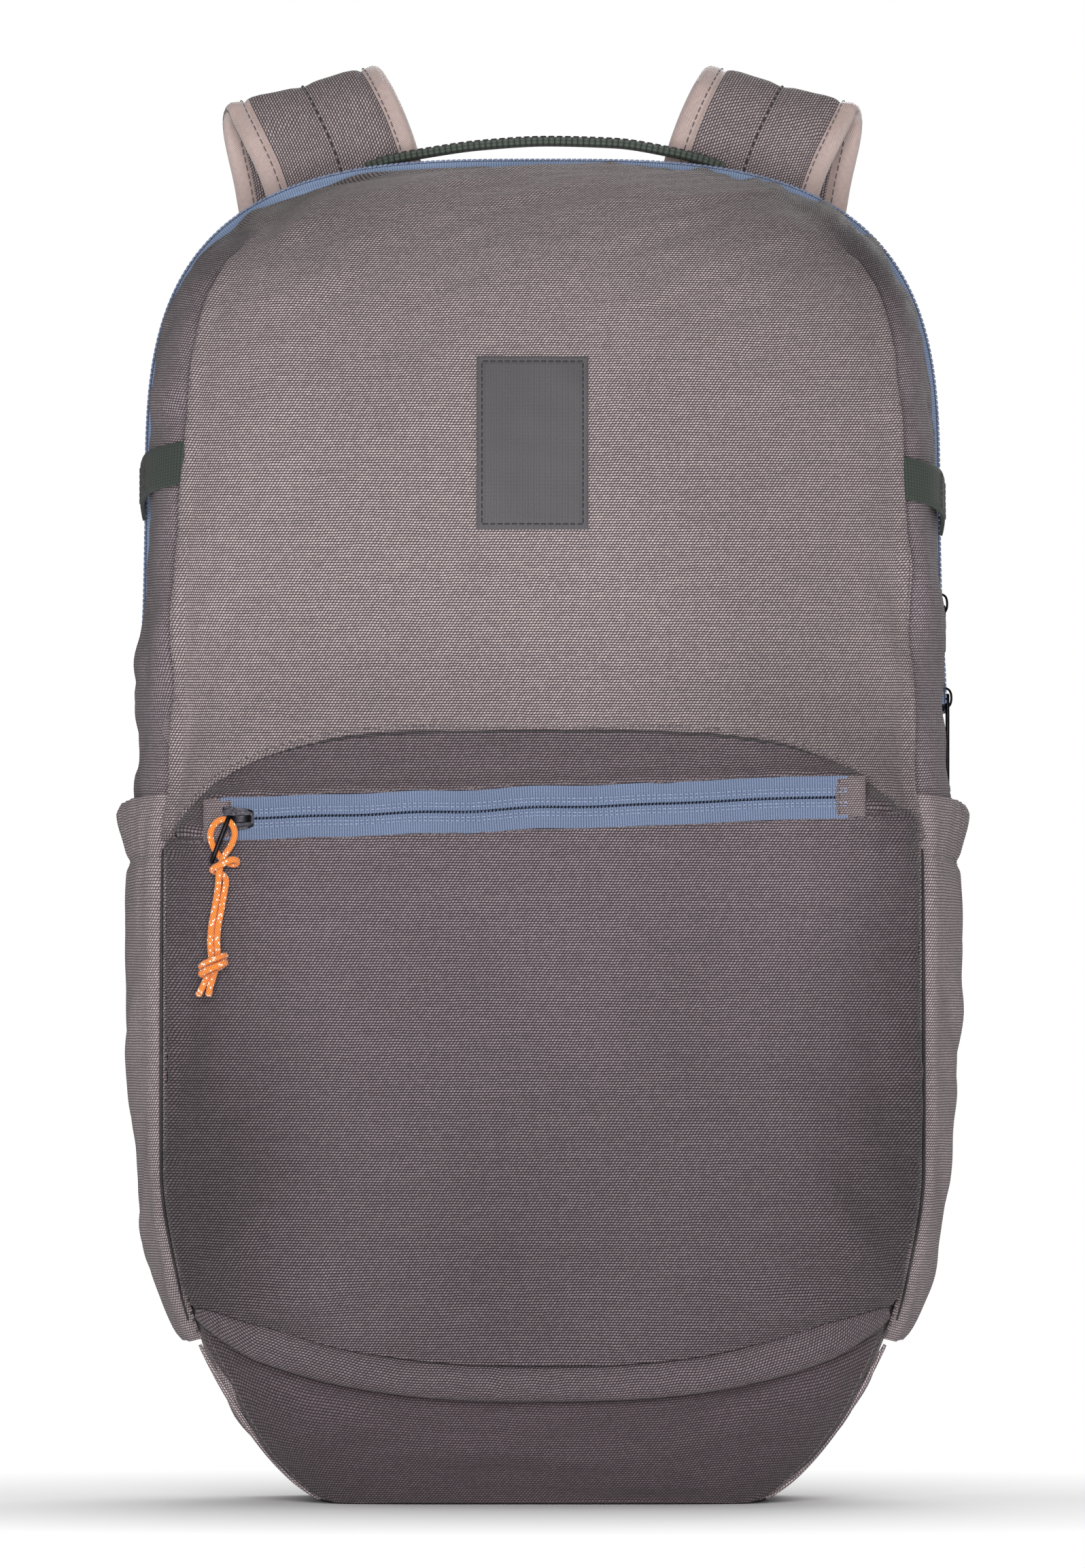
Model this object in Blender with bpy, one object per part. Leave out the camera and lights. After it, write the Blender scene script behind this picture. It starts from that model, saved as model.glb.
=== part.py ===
"""Daypack: a clamshell hiking pack standing upright on its base.

The front of the pack faces -Y, +X is to the viewer's right and +Z is up. The origin is on the
floor, under the middle of the base. Lengths are metres.

The body is one smooth shell, cut into sewn panels. Every panel is a thin slab between two offsets
from that shell, and neighbours keep SEAM between them.
"""
import math

import bmesh
import bpy
from mathutils import Vector

# ---- driving dimensions ------------------------------------------------------------------------
SEAM = 0.0004                 # gap left between two sewn or touching pieces
FABRIC = 0.0020               # thickness of a lined fabric panel
THIN = 0.0014                 # thickness of a single fabric or webbing layer

HEIGHT = 0.484                # floor to the top of the body
ZIP_Y = 0.035                 # plane of the main zip
BACK_Y = 0.083                # front face of the back panel
BASE_HALF_WIDTH = 0.085       # half width of the flat base
LOWER_HALF_WIDTH = 0.143      # half width where the bottom curve ends
LOWER_CURVE_HEIGHT = 0.106    # height where the bottom curve ends
ARCH_HALF_WIDTH = 0.1435      # half width where the top arch starts
ARCH_START = 0.360            # height where the top arch starts
ARCH_POWER = 3.2              # squareness of the top arch
SECTION_POWER = 5.0           # squareness of the front half of a level section
FRONT_DEPTH = 0.120           # zip plane to the front, at the belly
FRONT_BASE_DEPTH = 0.085      # zip plane to the front edge of the flat base
REAR_BASE_DEPTH = 0.042       # zip plane to the rear edge of the flat base
REAR_INSET = 0.006            # how much narrower the back panel is than the zip outline
BELLY_HEIGHT = 0.070          # height where the front's bottom curve ends
FRONT_CURVE_START = 0.260     # height above which the front curves back
HEEL_HEIGHT = 0.050           # height where the rear bottom curve ends

LID_AXIS_Z = 0.283            # height of the line that the front flap folds about
LID_SLOPE = math.tan(math.radians(28.0))    # rise of the flap's lower edge towards the front
LID_TOP = HEIGHT - 0.0003     # highest row of the flap's fabric
GUSSET_TOP = 0.4600           # where the side gussets run out into the zip tape
DART_TIP = 0.447              # upper end of the front seam
DART_START = 0.435            # the seam turns towards the zip between these two heights
DART_RUN = 0.027
SEAM_ALLOWANCE = 0.004        # section angle, in radians, kept clear on each side of a seam
MAIN_TAPE = 0.0068            # visible width of each main zip tape
TAPE_RECESS = 0.0020          # the tapes lie this far under the shell
SLIDER_LENGTH = 0.0125        # main zip sliders
SLIDER_PROUD = 0.0022
SLIDER_HALF_WIDTH = 0.0045
SLIDER_LOW = 0.0010           # lower slider, above the fold line
SLIDER_HIGH = 0.0330          # upper slider, above the fold line
PULL_LOWER_REACH = 0.0340     # lengths of the hanging wire pulls
PULL_UPPER_REACH = 0.0160
PULL_STANDOFF = 0.0036        # pull's pivot, outside the slider's inner face
PULL_HALF_WIDTH = 0.0028
WIRE_RADIUS = 0.0009

ZIP_HEIGHT = 0.2496           # height of the front pocket's zip at the middle
ZIP_TILT = 0.0366             # its rise per metre of width
ZIP_HALF_BAND = 0.0068        # half the height of its two tapes together
ZIP_LEFT = -0.1108            # ends of the tapes
ZIP_RIGHT = 0.1050
ZIP_FRONT_Y = -0.0915         # plane of the front zip's face
TAB_WIDTH = 0.0100            # fabric tab over each end of that zip
COIL_GAP = 0.0005             # half the opening between its two tapes
SLIDER_X = -0.1072            # where its slider is parked
SLIDER_LEVEL = ZIP_HEIGHT - ZIP_TILT * 0.1072
FRONT_PULL_PIVOT = (-0.1120, ZIP_FRONT_Y - 0.0050, SLIDER_LEVEL + 0.0005)
FRONT_PULL_LEAN = Vector((-0.36, 0.0, -0.93))       # the wire hangs down and to the left
FRONT_PULL_ACROSS = Vector((0.93, 0.0, -0.36))
FRONT_PULL_REACH = 0.0085     # half the length of the wire loop
FRONT_PULL_HALF_WIDTH = 0.0031
ARCH_SEAM_LOW = 0.238         # height of the arched seam at its ends
ARCH_SEAM_RISE = 0.039
ARCH_SEAM_HALF_WIDTH = 0.1315

ROLL_HEIGHT = 0.0442          # height of the rolled seam under the pocket, at the middle
ROLL_RISE = 0.0248            # its rise at the corners
ROLL_HALF_WIDTH = 0.1235
ROLL_HALF_BAND = 0.0066

HEM_TOP = 0.2545              # top of the side pockets
HEM_BOTTOM = 0.2325
HEM_FLARE = 0.0040            # how far the hem stands out from the shell
POCKET_FLOOR = 0.056          # lower seam of the side pockets
SIDE_TUCK = 0.0085            # how far the side panel sinks behind a side pocket
BASE_SEAM_TOP = 0.058         # upper end of the seam between base and side panel
BASE_SEAM_FOOT = 0.076        # half width of that seam at the floor
BASE_SEAM_SPREAD = 0.0485     # how much wider it is at its upper end

PATCH_LOW, PATCH_HIGH = 0.3490, 0.4110
PATCH_LEFT, PATCH_RIGHT = -0.0236, 0.0164
LASH_HEIGHT = 0.3735          # lash webbing where it leaves the front seam
LASH_DROP = 0.0125            # its fall towards the zip
LASH_HALF_WIDTH = 0.0077
LASH_END_ANGLE = 0.075        # section angle of its rear end
LASH_RIGHT_LOWER = 0.0055     # the right one is sewn on this much lower

SHEET_THICKNESS = 0.0012      # plastic sheet in the back
SLEEVE_HALF_WIDTH = 0.112
SLEEVE_DEPTH = 0.0180         # laptop sleeve to the back panel, in the middle
PAD_INNER, PAD_OUTER = 0.0160, 0.1060               # edges of a back pad
PAD_LOW, PAD_HIGH = 0.1350, 0.3950
LUMBAR_LOW, LUMBAR_HIGH = 0.0620, 0.1250
PAD_THICKNESS = 0.0110
LUMBAR_THICKNESS = 0.0140
PAD_RIM = 0.0030              # thickness of a pad at its edge
PAD_STANDOFF = BACK_Y + FABRIC + SEAM
YOKE_HALF_WIDTH = 0.0980
YOKE_LOW, YOKE_HIGH = 0.4020, 0.4600
YOKE_DEPTH = 0.0030

HANDLE_Y = 0.0750
HANDLE_WIDTH = 0.0190
HANDLE_THICKNESS = 0.0035
HANDLE_PIVOT_Z = 0.4830
HANDLE_ARC = [(-0.0640, 0.4825), (-0.0560, 0.4850), (-0.0420, 0.4876), (-0.0220, 0.4904), (0.0020, 0.4918),
              (0.0260, 0.4911), (0.0450, 0.4882), (0.0580, 0.4852), (0.0660, 0.4825)]

STRAP_THICKNESS = 0.0090
STRAP_REAR_Y = 0.1215
STRAP_HINGE_Z = 0.522         # line that the hanging part of a strap swings about
STRAP_STEPS = 33
STRAP_FOLD_POINT = 12         # of the points along a strap, the one at its fold
STRAP_ROUTE = [
    (0.0640, 0.0935, 0.4300), (0.0670, 0.0935, 0.4550), (0.0745, 0.0945, 0.4850),
    (0.0815, 0.0980, 0.5010), (0.0865, 0.1080, 0.5090), (0.0880, 0.1180, 0.5010),
    (0.0835, 0.1212, 0.4780), (0.0790, STRAP_REAR_Y, 0.4400), (0.0810, STRAP_REAR_Y, 0.3800),
    (0.0900, STRAP_REAR_Y, 0.3100), (0.0985, 0.1205, 0.2400), (0.1020, 0.1190, 0.1800),
]
STRAP_TILT = [0.10, 0.14, 0.24, 0.28, 0.28, 0.24, 0.12, 0.0, -0.08, -0.12, -0.08, -0.02]
STRAP_WIDTH = [0.056, 0.057, 0.058, 0.058, 0.058, 0.058, 0.058, 0.058, 0.057, 0.054, 0.050, 0.044]

WEBBING = 0.0200              # width of the adjuster webbing
WEBBING_THICKNESS = 0.0012
LOCK_CENTRE = (0.1025, 0.1190, 0.1520)              # right ladder lock
LOCK_HALF = (0.0155, 0.0022, 0.0140)
LOCK_SLOT_HALF = (0.0112, 0.0100, 0.0032)
LOCK_SLOT_OFFSET = 0.0066
LOCK_PIVOT_RISE = 0.0110
BOTTOM_TAB_X = (0.0835, 0.1095)
BOTTOM_TAB_Z = (0.0340, 0.0590)
STERNUM_Z = 0.345
STERNUM_Y = STRAP_REAR_Y + STRAP_THICKNESS / 2 + 0.0030
STERNUM_HALF_WIDTH = 0.0098
STERNUM_INNER, STERNUM_OUTER = 0.0235, 0.0720
ANCHOR_X = 0.0870
ANCHOR_HALF = (0.0145, 0.0022, 0.0125)

CORD_DIAMETER = 0.0024
CORD_PIVOT = (-0.11812, ZIP_FRONT_Y - 0.0050, SLIDER_LEVEL - 0.01531)
CORD_ROUTE = [
    (-0.1225, -0.1015, 0.1985), (-0.1215, -0.1010, 0.2040), (-0.1200, -0.1000, 0.2130),
    (-0.1188, -0.0992, 0.2220), (-0.1182, -0.0994, 0.2275), (-0.1176, -0.0992, 0.2310),
    (-0.1170, -0.0965, 0.2338), (-0.1170, -0.0938, 0.2310), (-0.1170, -0.0940, 0.2275),
    (-0.1164, -0.0955, 0.2220), (-0.1172, -0.0970, 0.2130), (-0.1188, -0.0988, 0.2040),
    (-0.1199, -0.0995, 0.1985),
]
KNOT_HEIGHTS = [0.1980, 0.1965, 0.1940, 0.1910, 0.1885, 0.1872, 0.1828]
KNOT_RADII = [0.0016, 0.0044, 0.0056, 0.0056, 0.0044, 0.0030, 0.0024]

# ---- colours -----------------------------------------------------------------------------------
WEAVE = (0.27, 0.24, 0.24, 1.0)
WEAVE_DARK = (0.11, 0.09, 0.10, 1.0)
LINING = (0.10, 0.10, 0.10, 1.0)
MESH_CLOTH = (0.03, 0.03, 0.03, 1.0)
ZIP_BLUE = (0.20, 0.24, 0.33, 1.0)
TAB_GREY = (0.12, 0.12, 0.12, 1.0)
GREEN_WEBBING = (0.035, 0.055, 0.045, 1.0)
BLACK_PLASTIC = (0.015, 0.015, 0.016, 1.0)
GUNMETAL = (0.10, 0.10, 0.11, 1.0)
ORANGE_CORD = (0.80, 0.21, 0.04, 1.0)
SHEET_WHITE = (0.55, 0.55, 0.53, 1.0)
BINDING = (0.34, 0.27, 0.25, 1.0)


# ---- outlines ----------------------------------------------------------------------------------
def through(points):
    """A smooth function that passes through (input, value) points without overshooting."""
    xs = [p[0] for p in points]
    ys = [p[1] for p in points]
    steps = [(ys[i + 1] - ys[i]) / (xs[i + 1] - xs[i]) for i in range(len(xs) - 1)]
    slopes = [steps[0]]
    for before, after in zip(steps, steps[1:]):
        slopes.append(0.0 if before * after <= 0 else 2 * before * after / (before + after))
    slopes.append(steps[-1])

    def value(x):
        x = min(max(x, xs[0]), xs[-1])
        i = max(k for k in range(len(xs) - 1) if xs[k] <= x)
        width = xs[i + 1] - xs[i]
        t = (x - xs[i]) / width
        rise = ys[i + 1] - ys[i]
        bend = width * ((1 - t) * slopes[i] - t * slopes[i + 1]) - (1 - 2 * t) * rise
        return ys[i] + t * rise + t * (1 - t) * bend

    return value


def share_of(value, low, high):
    """How far value has come from low to high, from 0 to 1; low may be the larger."""
    return min(max((value - low) / (high - low), 0.0), 1.0)


def swell(height, top):
    """0 at the floor rising to 1 at `top`, level at the floor, as a soft bag's bottom curve."""
    t = min(max((top - height) / top, 0.0), 1.0)
    return (1 - t ** 1.8) ** 0.91


side_line = through([
    (0.106, 0.1430), (0.155, 0.1470), (0.205, 0.1490), (0.254, 0.1480),
    (0.266, 0.1462), (0.291, 0.1458), (0.325, 0.1442), (0.360, 0.1435),
])
front_seam = through([
    (0.058, 0.1245), (0.078, 0.1300), (0.120, 0.1365), (0.230, 0.1360), (0.259, 0.1330),
    (0.315, 0.1310), (0.406, 0.1260), (0.430, 0.1215), (0.447, 0.1135),
])


def half_width(z):
    """Half width of the body in the main zip's plane."""
    if z < LOWER_CURVE_HEIGHT:
        growth = LOWER_HALF_WIDTH - BASE_HALF_WIDTH
        return BASE_HALF_WIDTH + growth * swell(z, LOWER_CURVE_HEIGHT)
    if z < ARCH_START:
        return side_line(z)
    t = min((z - ARCH_START) / (HEIGHT - ARCH_START), 1.0)
    return ARCH_HALF_WIDTH * (1 - t ** ARCH_POWER) ** (1 / ARCH_POWER)


def front_depth(z):
    """Distance from the zip plane to the front of the body."""
    if z < BELLY_HEIGHT:
        return FRONT_BASE_DEPTH + (FRONT_DEPTH - FRONT_BASE_DEPTH) * swell(z, BELLY_HEIGHT)
    t = share_of(z, FRONT_CURVE_START, HEIGHT)
    return FRONT_DEPTH * (1 - t ** 3) ** (1 / 2.2)


def rear_depth(z):
    """Distance from the zip plane to the back panel."""
    return REAR_BASE_DEPTH + (BACK_Y - ZIP_Y - REAR_BASE_DEPTH) * swell(z, HEEL_HEIGHT)


def front_y(x, z):
    """Depth coordinate of the shell's front at a place seen from the front."""
    ratio = min(abs(x) / half_width(z), 0.9999)
    return ZIP_Y - front_depth(z) * (1 - ratio ** SECTION_POWER) ** (1 / SECTION_POWER)


def section_angle(x, z):
    """Angle round the section, 0 at the right zip and 90 degrees at the front, of the front at x."""
    ratio = min(abs(x) / half_width(z), 0.9999)
    return math.atan2((1 - ratio ** SECTION_POWER) ** (1 / SECTION_POWER), ratio)


def tape_angle(z):
    """Section angle where the flap's fabric ends and the main zip tape begins."""
    ratio = min((MAIN_TAPE + SEAM) / max(front_depth(z), 1e-4), 0.999)
    return math.atan2(ratio, (1 - ratio ** SECTION_POWER) ** (1 / SECTION_POWER))


def shell(turn, z):
    """Point of the shell. turn < 0: section angle -turn, to the front; turn 0..1: to the back."""
    if turn <= 0:
        c, s = math.cos(-turn), math.sin(-turn)
        k = (abs(c) ** SECTION_POWER + abs(s) ** SECTION_POWER) ** (-1 / SECTION_POWER)
        return Vector((half_width(z) * c * k, ZIP_Y - front_depth(z) * s * k, z))
    return Vector((half_width(z) - REAR_INSET * turn ** 2, ZIP_Y + rear_depth(z) * turn, z))


def shell_normal(turn, z):
    """Outward direction of the shell there."""
    step = 1e-4
    z = min(max(z, 2 * step), HEIGHT - 3 * step)
    low, high = max(z - step, step), min(z + step, HEIGHT - step)
    along = shell(turn + step, z) - shell(turn - step, z)
    up = shell(turn, high) - shell(turn, low)
    return along.cross(up).normalized()


def offset_point(turn, z, distance):
    """Point at a distance outside the shell."""
    return shell(turn, z) + shell_normal(turn, z) * distance


def mirrored(point):
    return Vector((-point.x, point.y, point.z))


def outline(count, start):
    """Zip outline from the right side at height start, over the top, to the left side."""
    right = []
    straight = max(2, round(count * 0.3))
    for i in range(straight):
        z = start + (ARCH_START - start) * i / straight
        right.append(Vector((half_width(z), 0.0, z)))
    for i in range(count - straight + 1):
        angle = math.pi / 2 * i / (count - straight)
        c, s = max(math.cos(angle), 0.0), math.sin(angle)
        k = (c ** ARCH_POWER + s ** ARCH_POWER) ** (-1 / ARCH_POWER)
        right.append(Vector((ARCH_HALF_WIDTH * c * k, 0.0, ARCH_START + (HEIGHT - ARCH_START) * s * k)))
    return right + [mirrored(p) for p in reversed(right[:-1])]


def inset_outline(points, distance):
    """The same outline moved towards the inside of the body."""
    moved = []
    for i, point in enumerate(points):
        ahead = points[min(i + 1, len(points) - 1)]
        behind = points[max(i - 1, 0)]
        along = (ahead - behind).normalized()
        moved.append(point - Vector((along.z, 0.0, -along.x)) * distance)
    return moved


# ---- mesh helpers ------------------------------------------------------------------------------
MATERIALS = {}


def material(name, colour, roughness=0.85, metallic=0.0):
    """A plain material, made once for each name."""
    if name not in MATERIALS:
        made = bpy.data.materials.new(name)
        made.use_nodes = True
        shader = made.node_tree.nodes["Principled BSDF"]
        shader.inputs["Base Color"].default_value = colour
        shader.inputs["Roughness"].default_value = roughness
        shader.inputs["Metallic"].default_value = metallic
        MATERIALS[name] = made
    return MATERIALS[name]


def finish_mesh(name, mesh_data, look, pivot=(0.0, 0.0, 0.0)):
    """Turn a bmesh in world coordinates into an object whose origin is at pivot."""
    bmesh.ops.recalc_face_normals(mesh_data, faces=mesh_data.faces)
    bmesh.ops.translate(mesh_data, verts=mesh_data.verts, vec=-Vector(pivot))
    mesh = bpy.data.meshes.new(name)
    mesh_data.to_mesh(mesh)
    mesh_data.free()
    mesh.materials.append(look)
    mesh.shade_smooth()
    mesh.set_sharp_from_angle(angle=math.radians(40))
    made = bpy.data.objects.new(name, mesh)
    made.location = pivot
    bpy.context.collection.objects.link(made)
    return made


def slab(name, outer, inner, look, pivot=(0.0, 0.0, 0.0)):
    """Closed slab between two grids of points with the same rows and columns."""
    mesh_data = bmesh.new()
    front = [[mesh_data.verts.new(p) for p in row] for row in outer]
    back = [[mesh_data.verts.new(p) for p in row] for row in inner]
    rows, columns = len(front), len(front[0])
    for j in range(rows - 1):
        for i in range(columns - 1):
            mesh_data.faces.new((front[j][i], front[j][i + 1], front[j + 1][i + 1], front[j + 1][i]))
            mesh_data.faces.new((back[j + 1][i], back[j + 1][i + 1], back[j][i + 1], back[j][i]))
    ring = [(0, i) for i in range(columns)]
    ring += [(j, columns - 1) for j in range(1, rows)]
    ring += [(rows - 1, i) for i in range(columns - 2, -1, -1)]
    ring += [(j, 0) for j in range(rows - 2, 0, -1)]
    for (j, i), (l, k) in zip(ring, ring[1:] + ring[:1]):
        mesh_data.faces.new((front[j][i], back[j][i], back[l][k], front[l][k]))
    return finish_mesh(name, mesh_data, look, pivot)


def grid_normals(grid):
    """Normal at each point of a grid, from its neighbours."""
    rows, columns = len(grid), len(grid[0])
    normals = []
    for j in range(rows):
        line = []
        for i in range(columns):
            across = grid[j][min(i + 1, columns - 1)] - grid[j][max(i - 1, 0)]
            up = grid[min(j + 1, rows - 1)][i] - grid[max(j - 1, 0)][i]
            line.append(across.cross(up).normalized())
        normals.append(line)
    return normals


def sheet_slab(name, grid, thickness, look, pivot=(0.0, 0.0, 0.0)):
    """Slab whose outer face is the grid; its rows run +X to the right and upwards at the front."""
    normals = grid_normals(grid)
    inner = [[p - n * thickness for p, n in zip(row, line)] for row, line in zip(grid, normals)]
    return slab(name, grid, inner, look, pivot)


def layer(name, places, low, high, look, flip=False, pivot=(0.0, 0.0, 0.0)):
    """Slab over shell places (turn, z), from offset low to offset high, mirrored if flip."""
    def level(distance):
        rows = []
        for row in places:
            rows.append([offset_point(turn, z, distance(turn, z)) for turn, z in row])
        return [[mirrored(p) for p in row] for row in rows] if flip else rows

    return slab(name, level(high), level(low), look, pivot)


def constant(value):
    """The same offset all over a layer."""
    return lambda turn, z: value


def directions(path, closed=False):
    """Unit direction of travel at each point of a path."""
    count = len(path)
    if closed:
        return [(path[(i + 1) % count] - path[i - 1]).normalized() for i in range(count)]
    return [(path[min(i + 1, count - 1)] - path[max(i - 1, 0)]).normalized() for i in range(count)]


def sweep(name, path, sides, sections, look, closed=False, pivot=(0.0, 0.0, 0.0), travel=None):
    """Tube along path. sections give (across, out) offsets; sides give the across directions."""
    mesh_data = bmesh.new()
    rings = []
    travel = travel or directions(path, closed)
    for i, (point, along) in enumerate(zip(path, travel)):
        across = (sides[i] - along * sides[i].dot(along)).normalized()
        out = across.cross(along)
        rings.append([mesh_data.verts.new(point + across * a + out * b) for a, b in sections[i]])
    pairs = list(zip(rings, rings[1:])) + ([(rings[-1], rings[0])] if closed else [])
    corners = len(rings[0])
    for ring, following in pairs:
        for k in range(corners):
            m = (k + 1) % corners
            mesh_data.faces.new((ring[k], ring[m], following[m], following[k]))
    if not closed:
        mesh_data.faces.new(rings[0])
        mesh_data.faces.new(list(reversed(rings[-1])))
    return finish_mesh(name, mesh_data, look, pivot)


def flat_section(width, thickness, edge=0.35):
    """Strap section: a rectangle with its four corners taken off."""
    a, b, cut = width / 2, thickness / 2, thickness * edge
    return [(a - cut, b), (-a + cut, b), (-a, b - cut), (-a, -b + cut),
            (-a + cut, -b), (a - cut, -b), (a, -b + cut), (a, b - cut)]


def round_section(radius, count=8):
    return [(radius * math.cos(2 * math.pi * k / count), radius * math.sin(2 * math.pi * k / count))
            for k in range(count)]


def smooth_path(points, count):
    """Points evenly spaced in step along a curve through the given points."""
    knots = list(range(len(points)))
    curves = [through([(k, p[axis]) for k, p in zip(knots, points)]) for axis in range(3)]
    last = len(points) - 1
    return [Vector(tuple(c(last * i / count) for c in curves)) for i in range(count + 1)]


def ribbon(name, points, side, width, thickness, look, count=16, pivot=(0.0, 0.0, 0.0)):
    """Flat strap of one width along a smooth path."""
    path = smooth_path(points, count)
    section = flat_section(width, thickness)
    return sweep(name, path, [Vector(side)] * len(path), [section] * len(path), look, pivot=pivot)


def box(name, low, high, look, bevel=0.0, pivot=None):
    """Rectangular block with softened edges."""
    centre = (Vector(low) + Vector(high)) / 2
    size = Vector(high) - Vector(low)
    mesh_data = bmesh.new()
    bmesh.ops.create_cube(mesh_data, size=1.0)
    bmesh.ops.scale(mesh_data, verts=mesh_data.verts, vec=size)
    bmesh.ops.translate(mesh_data, verts=mesh_data.verts, vec=centre)
    if bevel:
        bmesh.ops.bevel(mesh_data, geom=mesh_data.edges[:], offset=bevel, segments=1, affect="EDGES")
    return finish_mesh(name, mesh_data, look, pivot or tuple(centre))


def spread(first, last, count):
    """Evenly spaced values, both ends included."""
    return [first + (last - first) * i / count for i in range(count + 1)]


def ease_up(low, high, count, sharp=1.6):
    """Heights from low to high that crowd together towards high."""
    return [low + (high - low) * (1 - (1 - i / count) ** sharp) for i in range(count + 1)]


# ---- shell panels ------------------------------------------------------------------------------
def fold_height(angle):
    """Height of the flap's slanted lower edge at a section angle."""
    height = LID_AXIS_Z
    for _ in range(3):
        height = LID_AXIS_Z + (ZIP_Y - shell(-angle, height).y) * LID_SLOPE
    return height


def seam_angle(z):
    """Section angle of the front seam; above the dart it meets the main zip tape."""
    below = min(z, DART_TIP)
    seam = section_angle(front_seam(below), below)
    tape = tape_angle(z)
    t = share_of(z, DART_START, DART_START + DART_RUN)
    t = t * t * (3 - 2 * t)
    return seam * (1 - t) + tape * t


def front_panel():
    """Front of the flap, between the two front seams."""
    look = material("front_weave", WEAVE)
    columns = 18
    places = []
    for share in ease_up(0.0, 1.0, 14):
        row = []
        for i in range(columns + 1):
            side = 1 - 2 * i / columns
            height = fold_height(math.pi / 2) + SEAM
            edge = 0.0
            for _ in range(3):
                edge = seam_angle(height) + SEAM_ALLOWANCE
                angle = math.pi / 2 - (math.pi / 2 - edge) * side
                low = fold_height(angle) + SEAM
                height = low + (LID_TOP - low) * share
            row.append((-angle, height))
        places.append(list(reversed(row)))
    layer("front_panel", places, constant(-FABRIC), constant(0.0), look)


def side_gussets():
    """Sides of the flap, from the front seams to the main zip."""
    look = material("gusset_weave", WEAVE)
    columns = 4
    places = []
    for share in ease_up(0.0, 1.0, 12):
        row = []
        for i in range(columns + 1):
            height = LID_AXIS_Z + 0.03
            for _ in range(4):
                inner = seam_angle(height) - SEAM_ALLOWANCE
                outer = tape_angle(height)
                angle = outer + (inner - outer) * i / columns
                low = fold_height(angle) + SEAM
                height = low + (GUSSET_TOP - low) * share
            row.append((-angle, height))
        places.append(list(reversed(row)))
    layer("side_gusset_right", places, constant(-FABRIC), constant(0.0), look)
    layer("side_gusset_left", places, constant(-FABRIC), constant(0.0), look, flip=True)


def front_fold():
    """Fabric under the flap, which folds as the flap opens."""
    look = material("fold_weave", WEAVE)
    first = math.radians(14)
    angles = spread(first, math.pi - first, 24)
    places = []
    for share in (0.0, 0.5, 1.0):
        row = []
        for angle in reversed(angles):
            low = LID_AXIS_Z + SEAM
            high = fold_height(angle) - SEAM
            row.append((-angle, low + (high - low) * share))
        places.append(row)
    layer("front_fold", places, constant(-FABRIC), constant(0.0), look)


def lower_front():
    """Inner wall of the front pocket."""
    look = material("pocket_lining", LINING)
    places = []
    for share in spread(0.0, 1.0, 9):
        row = []
        for i in range(15):
            side = -1 + 2 * i / 14
            low = roll_height(side * ROLL_HALF_WIDTH)
            z = low + (LID_AXIS_Z - SEAM - low) * share
            edge = section_angle(front_seam(z), z) + SEAM_ALLOWANCE
            row.append((-(math.pi / 2 - (math.pi / 2 - edge) * side), z))
        places.append(row)
    layer("pocket_inner_wall", places, constant(-FABRIC), constant(0.0), look)


def base_seam(z):
    """Half width of the base panel where it meets the side panel."""
    return BASE_SEAM_FOOT + BASE_SEAM_SPREAD * (min(z, BASE_SEAM_TOP) / BASE_SEAM_TOP) ** 0.6


def side_edge_angle(z):
    """Section angle of the side panel's front edge."""
    edge = base_seam(z) if z < BASE_SEAM_TOP else front_seam(z)
    return section_angle(edge, z)


def tuck(turn, z):
    """How far the side panel sinks in behind the side pocket."""
    across = min(max((turn + 0.80) / 0.35, 0.0), 1.0) * min(max((0.95 - turn) / 0.4, 0.0), 1.0)
    down = min(max((0.272 - z) / 0.028, 0.0), 1.0) * min(max((z - 0.03) / 0.05, 0.0), 1.0)
    least = (THIN + 2 * SEAM) * min(max((0.268 - z) / 0.012, 0.0), 1.0)
    return least + (SIDE_TUCK - least) * across * down


def side_panels():
    """Sides of the body below the flap, tucked in behind the side pockets."""
    look = material("side_weave", WEAVE_DARK)
    heights = ease_up(0.0012, 0.060, 7, 0.6) + spread(0.085, 0.225, 6) + spread(0.238, LID_AXIS_Z - SEAM, 5)
    places = []
    for z in heights:
        edge = side_edge_angle(z) - 0.005
        forward = [-edge * (1 - i / 5) for i in range(6)]
        places.append(forward + [0.25, 0.5, 0.75, 1.0])
    places = [[(turn, z) for turn in row] for row, z in zip(places, heights)]

    def outer(turn, z):
        return -tuck(turn, z)

    def inner(turn, z):
        return -tuck(turn, z) - FABRIC

    layer("side_panel_right", places, inner, outer, look)
    layer("side_panel_left", places, inner, outer, look, flip=True)


def rear_gusset():
    """Band from the main zip's rear tape to the back panel, over the top."""
    look = material("rear_gusset_weave", WEAVE_DARK)
    line = outline(18, LID_AXIS_Z)
    outer, inner = [], []
    for depth in (MAIN_TAPE + 2 * SEAM, 0.022, 0.036, BACK_Y - ZIP_Y - SEAM):
        narrowing = REAR_INSET * (depth / (BACK_Y - ZIP_Y)) ** 2
        shift = Vector((0.0, ZIP_Y + depth, 0.0))
        outer.append([p + shift for p in inset_outline(line, narrowing)])
        inner.append([p + shift for p in inset_outline(line, narrowing + FABRIC)])
    slab("rear_gusset", outer, inner, look)


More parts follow.
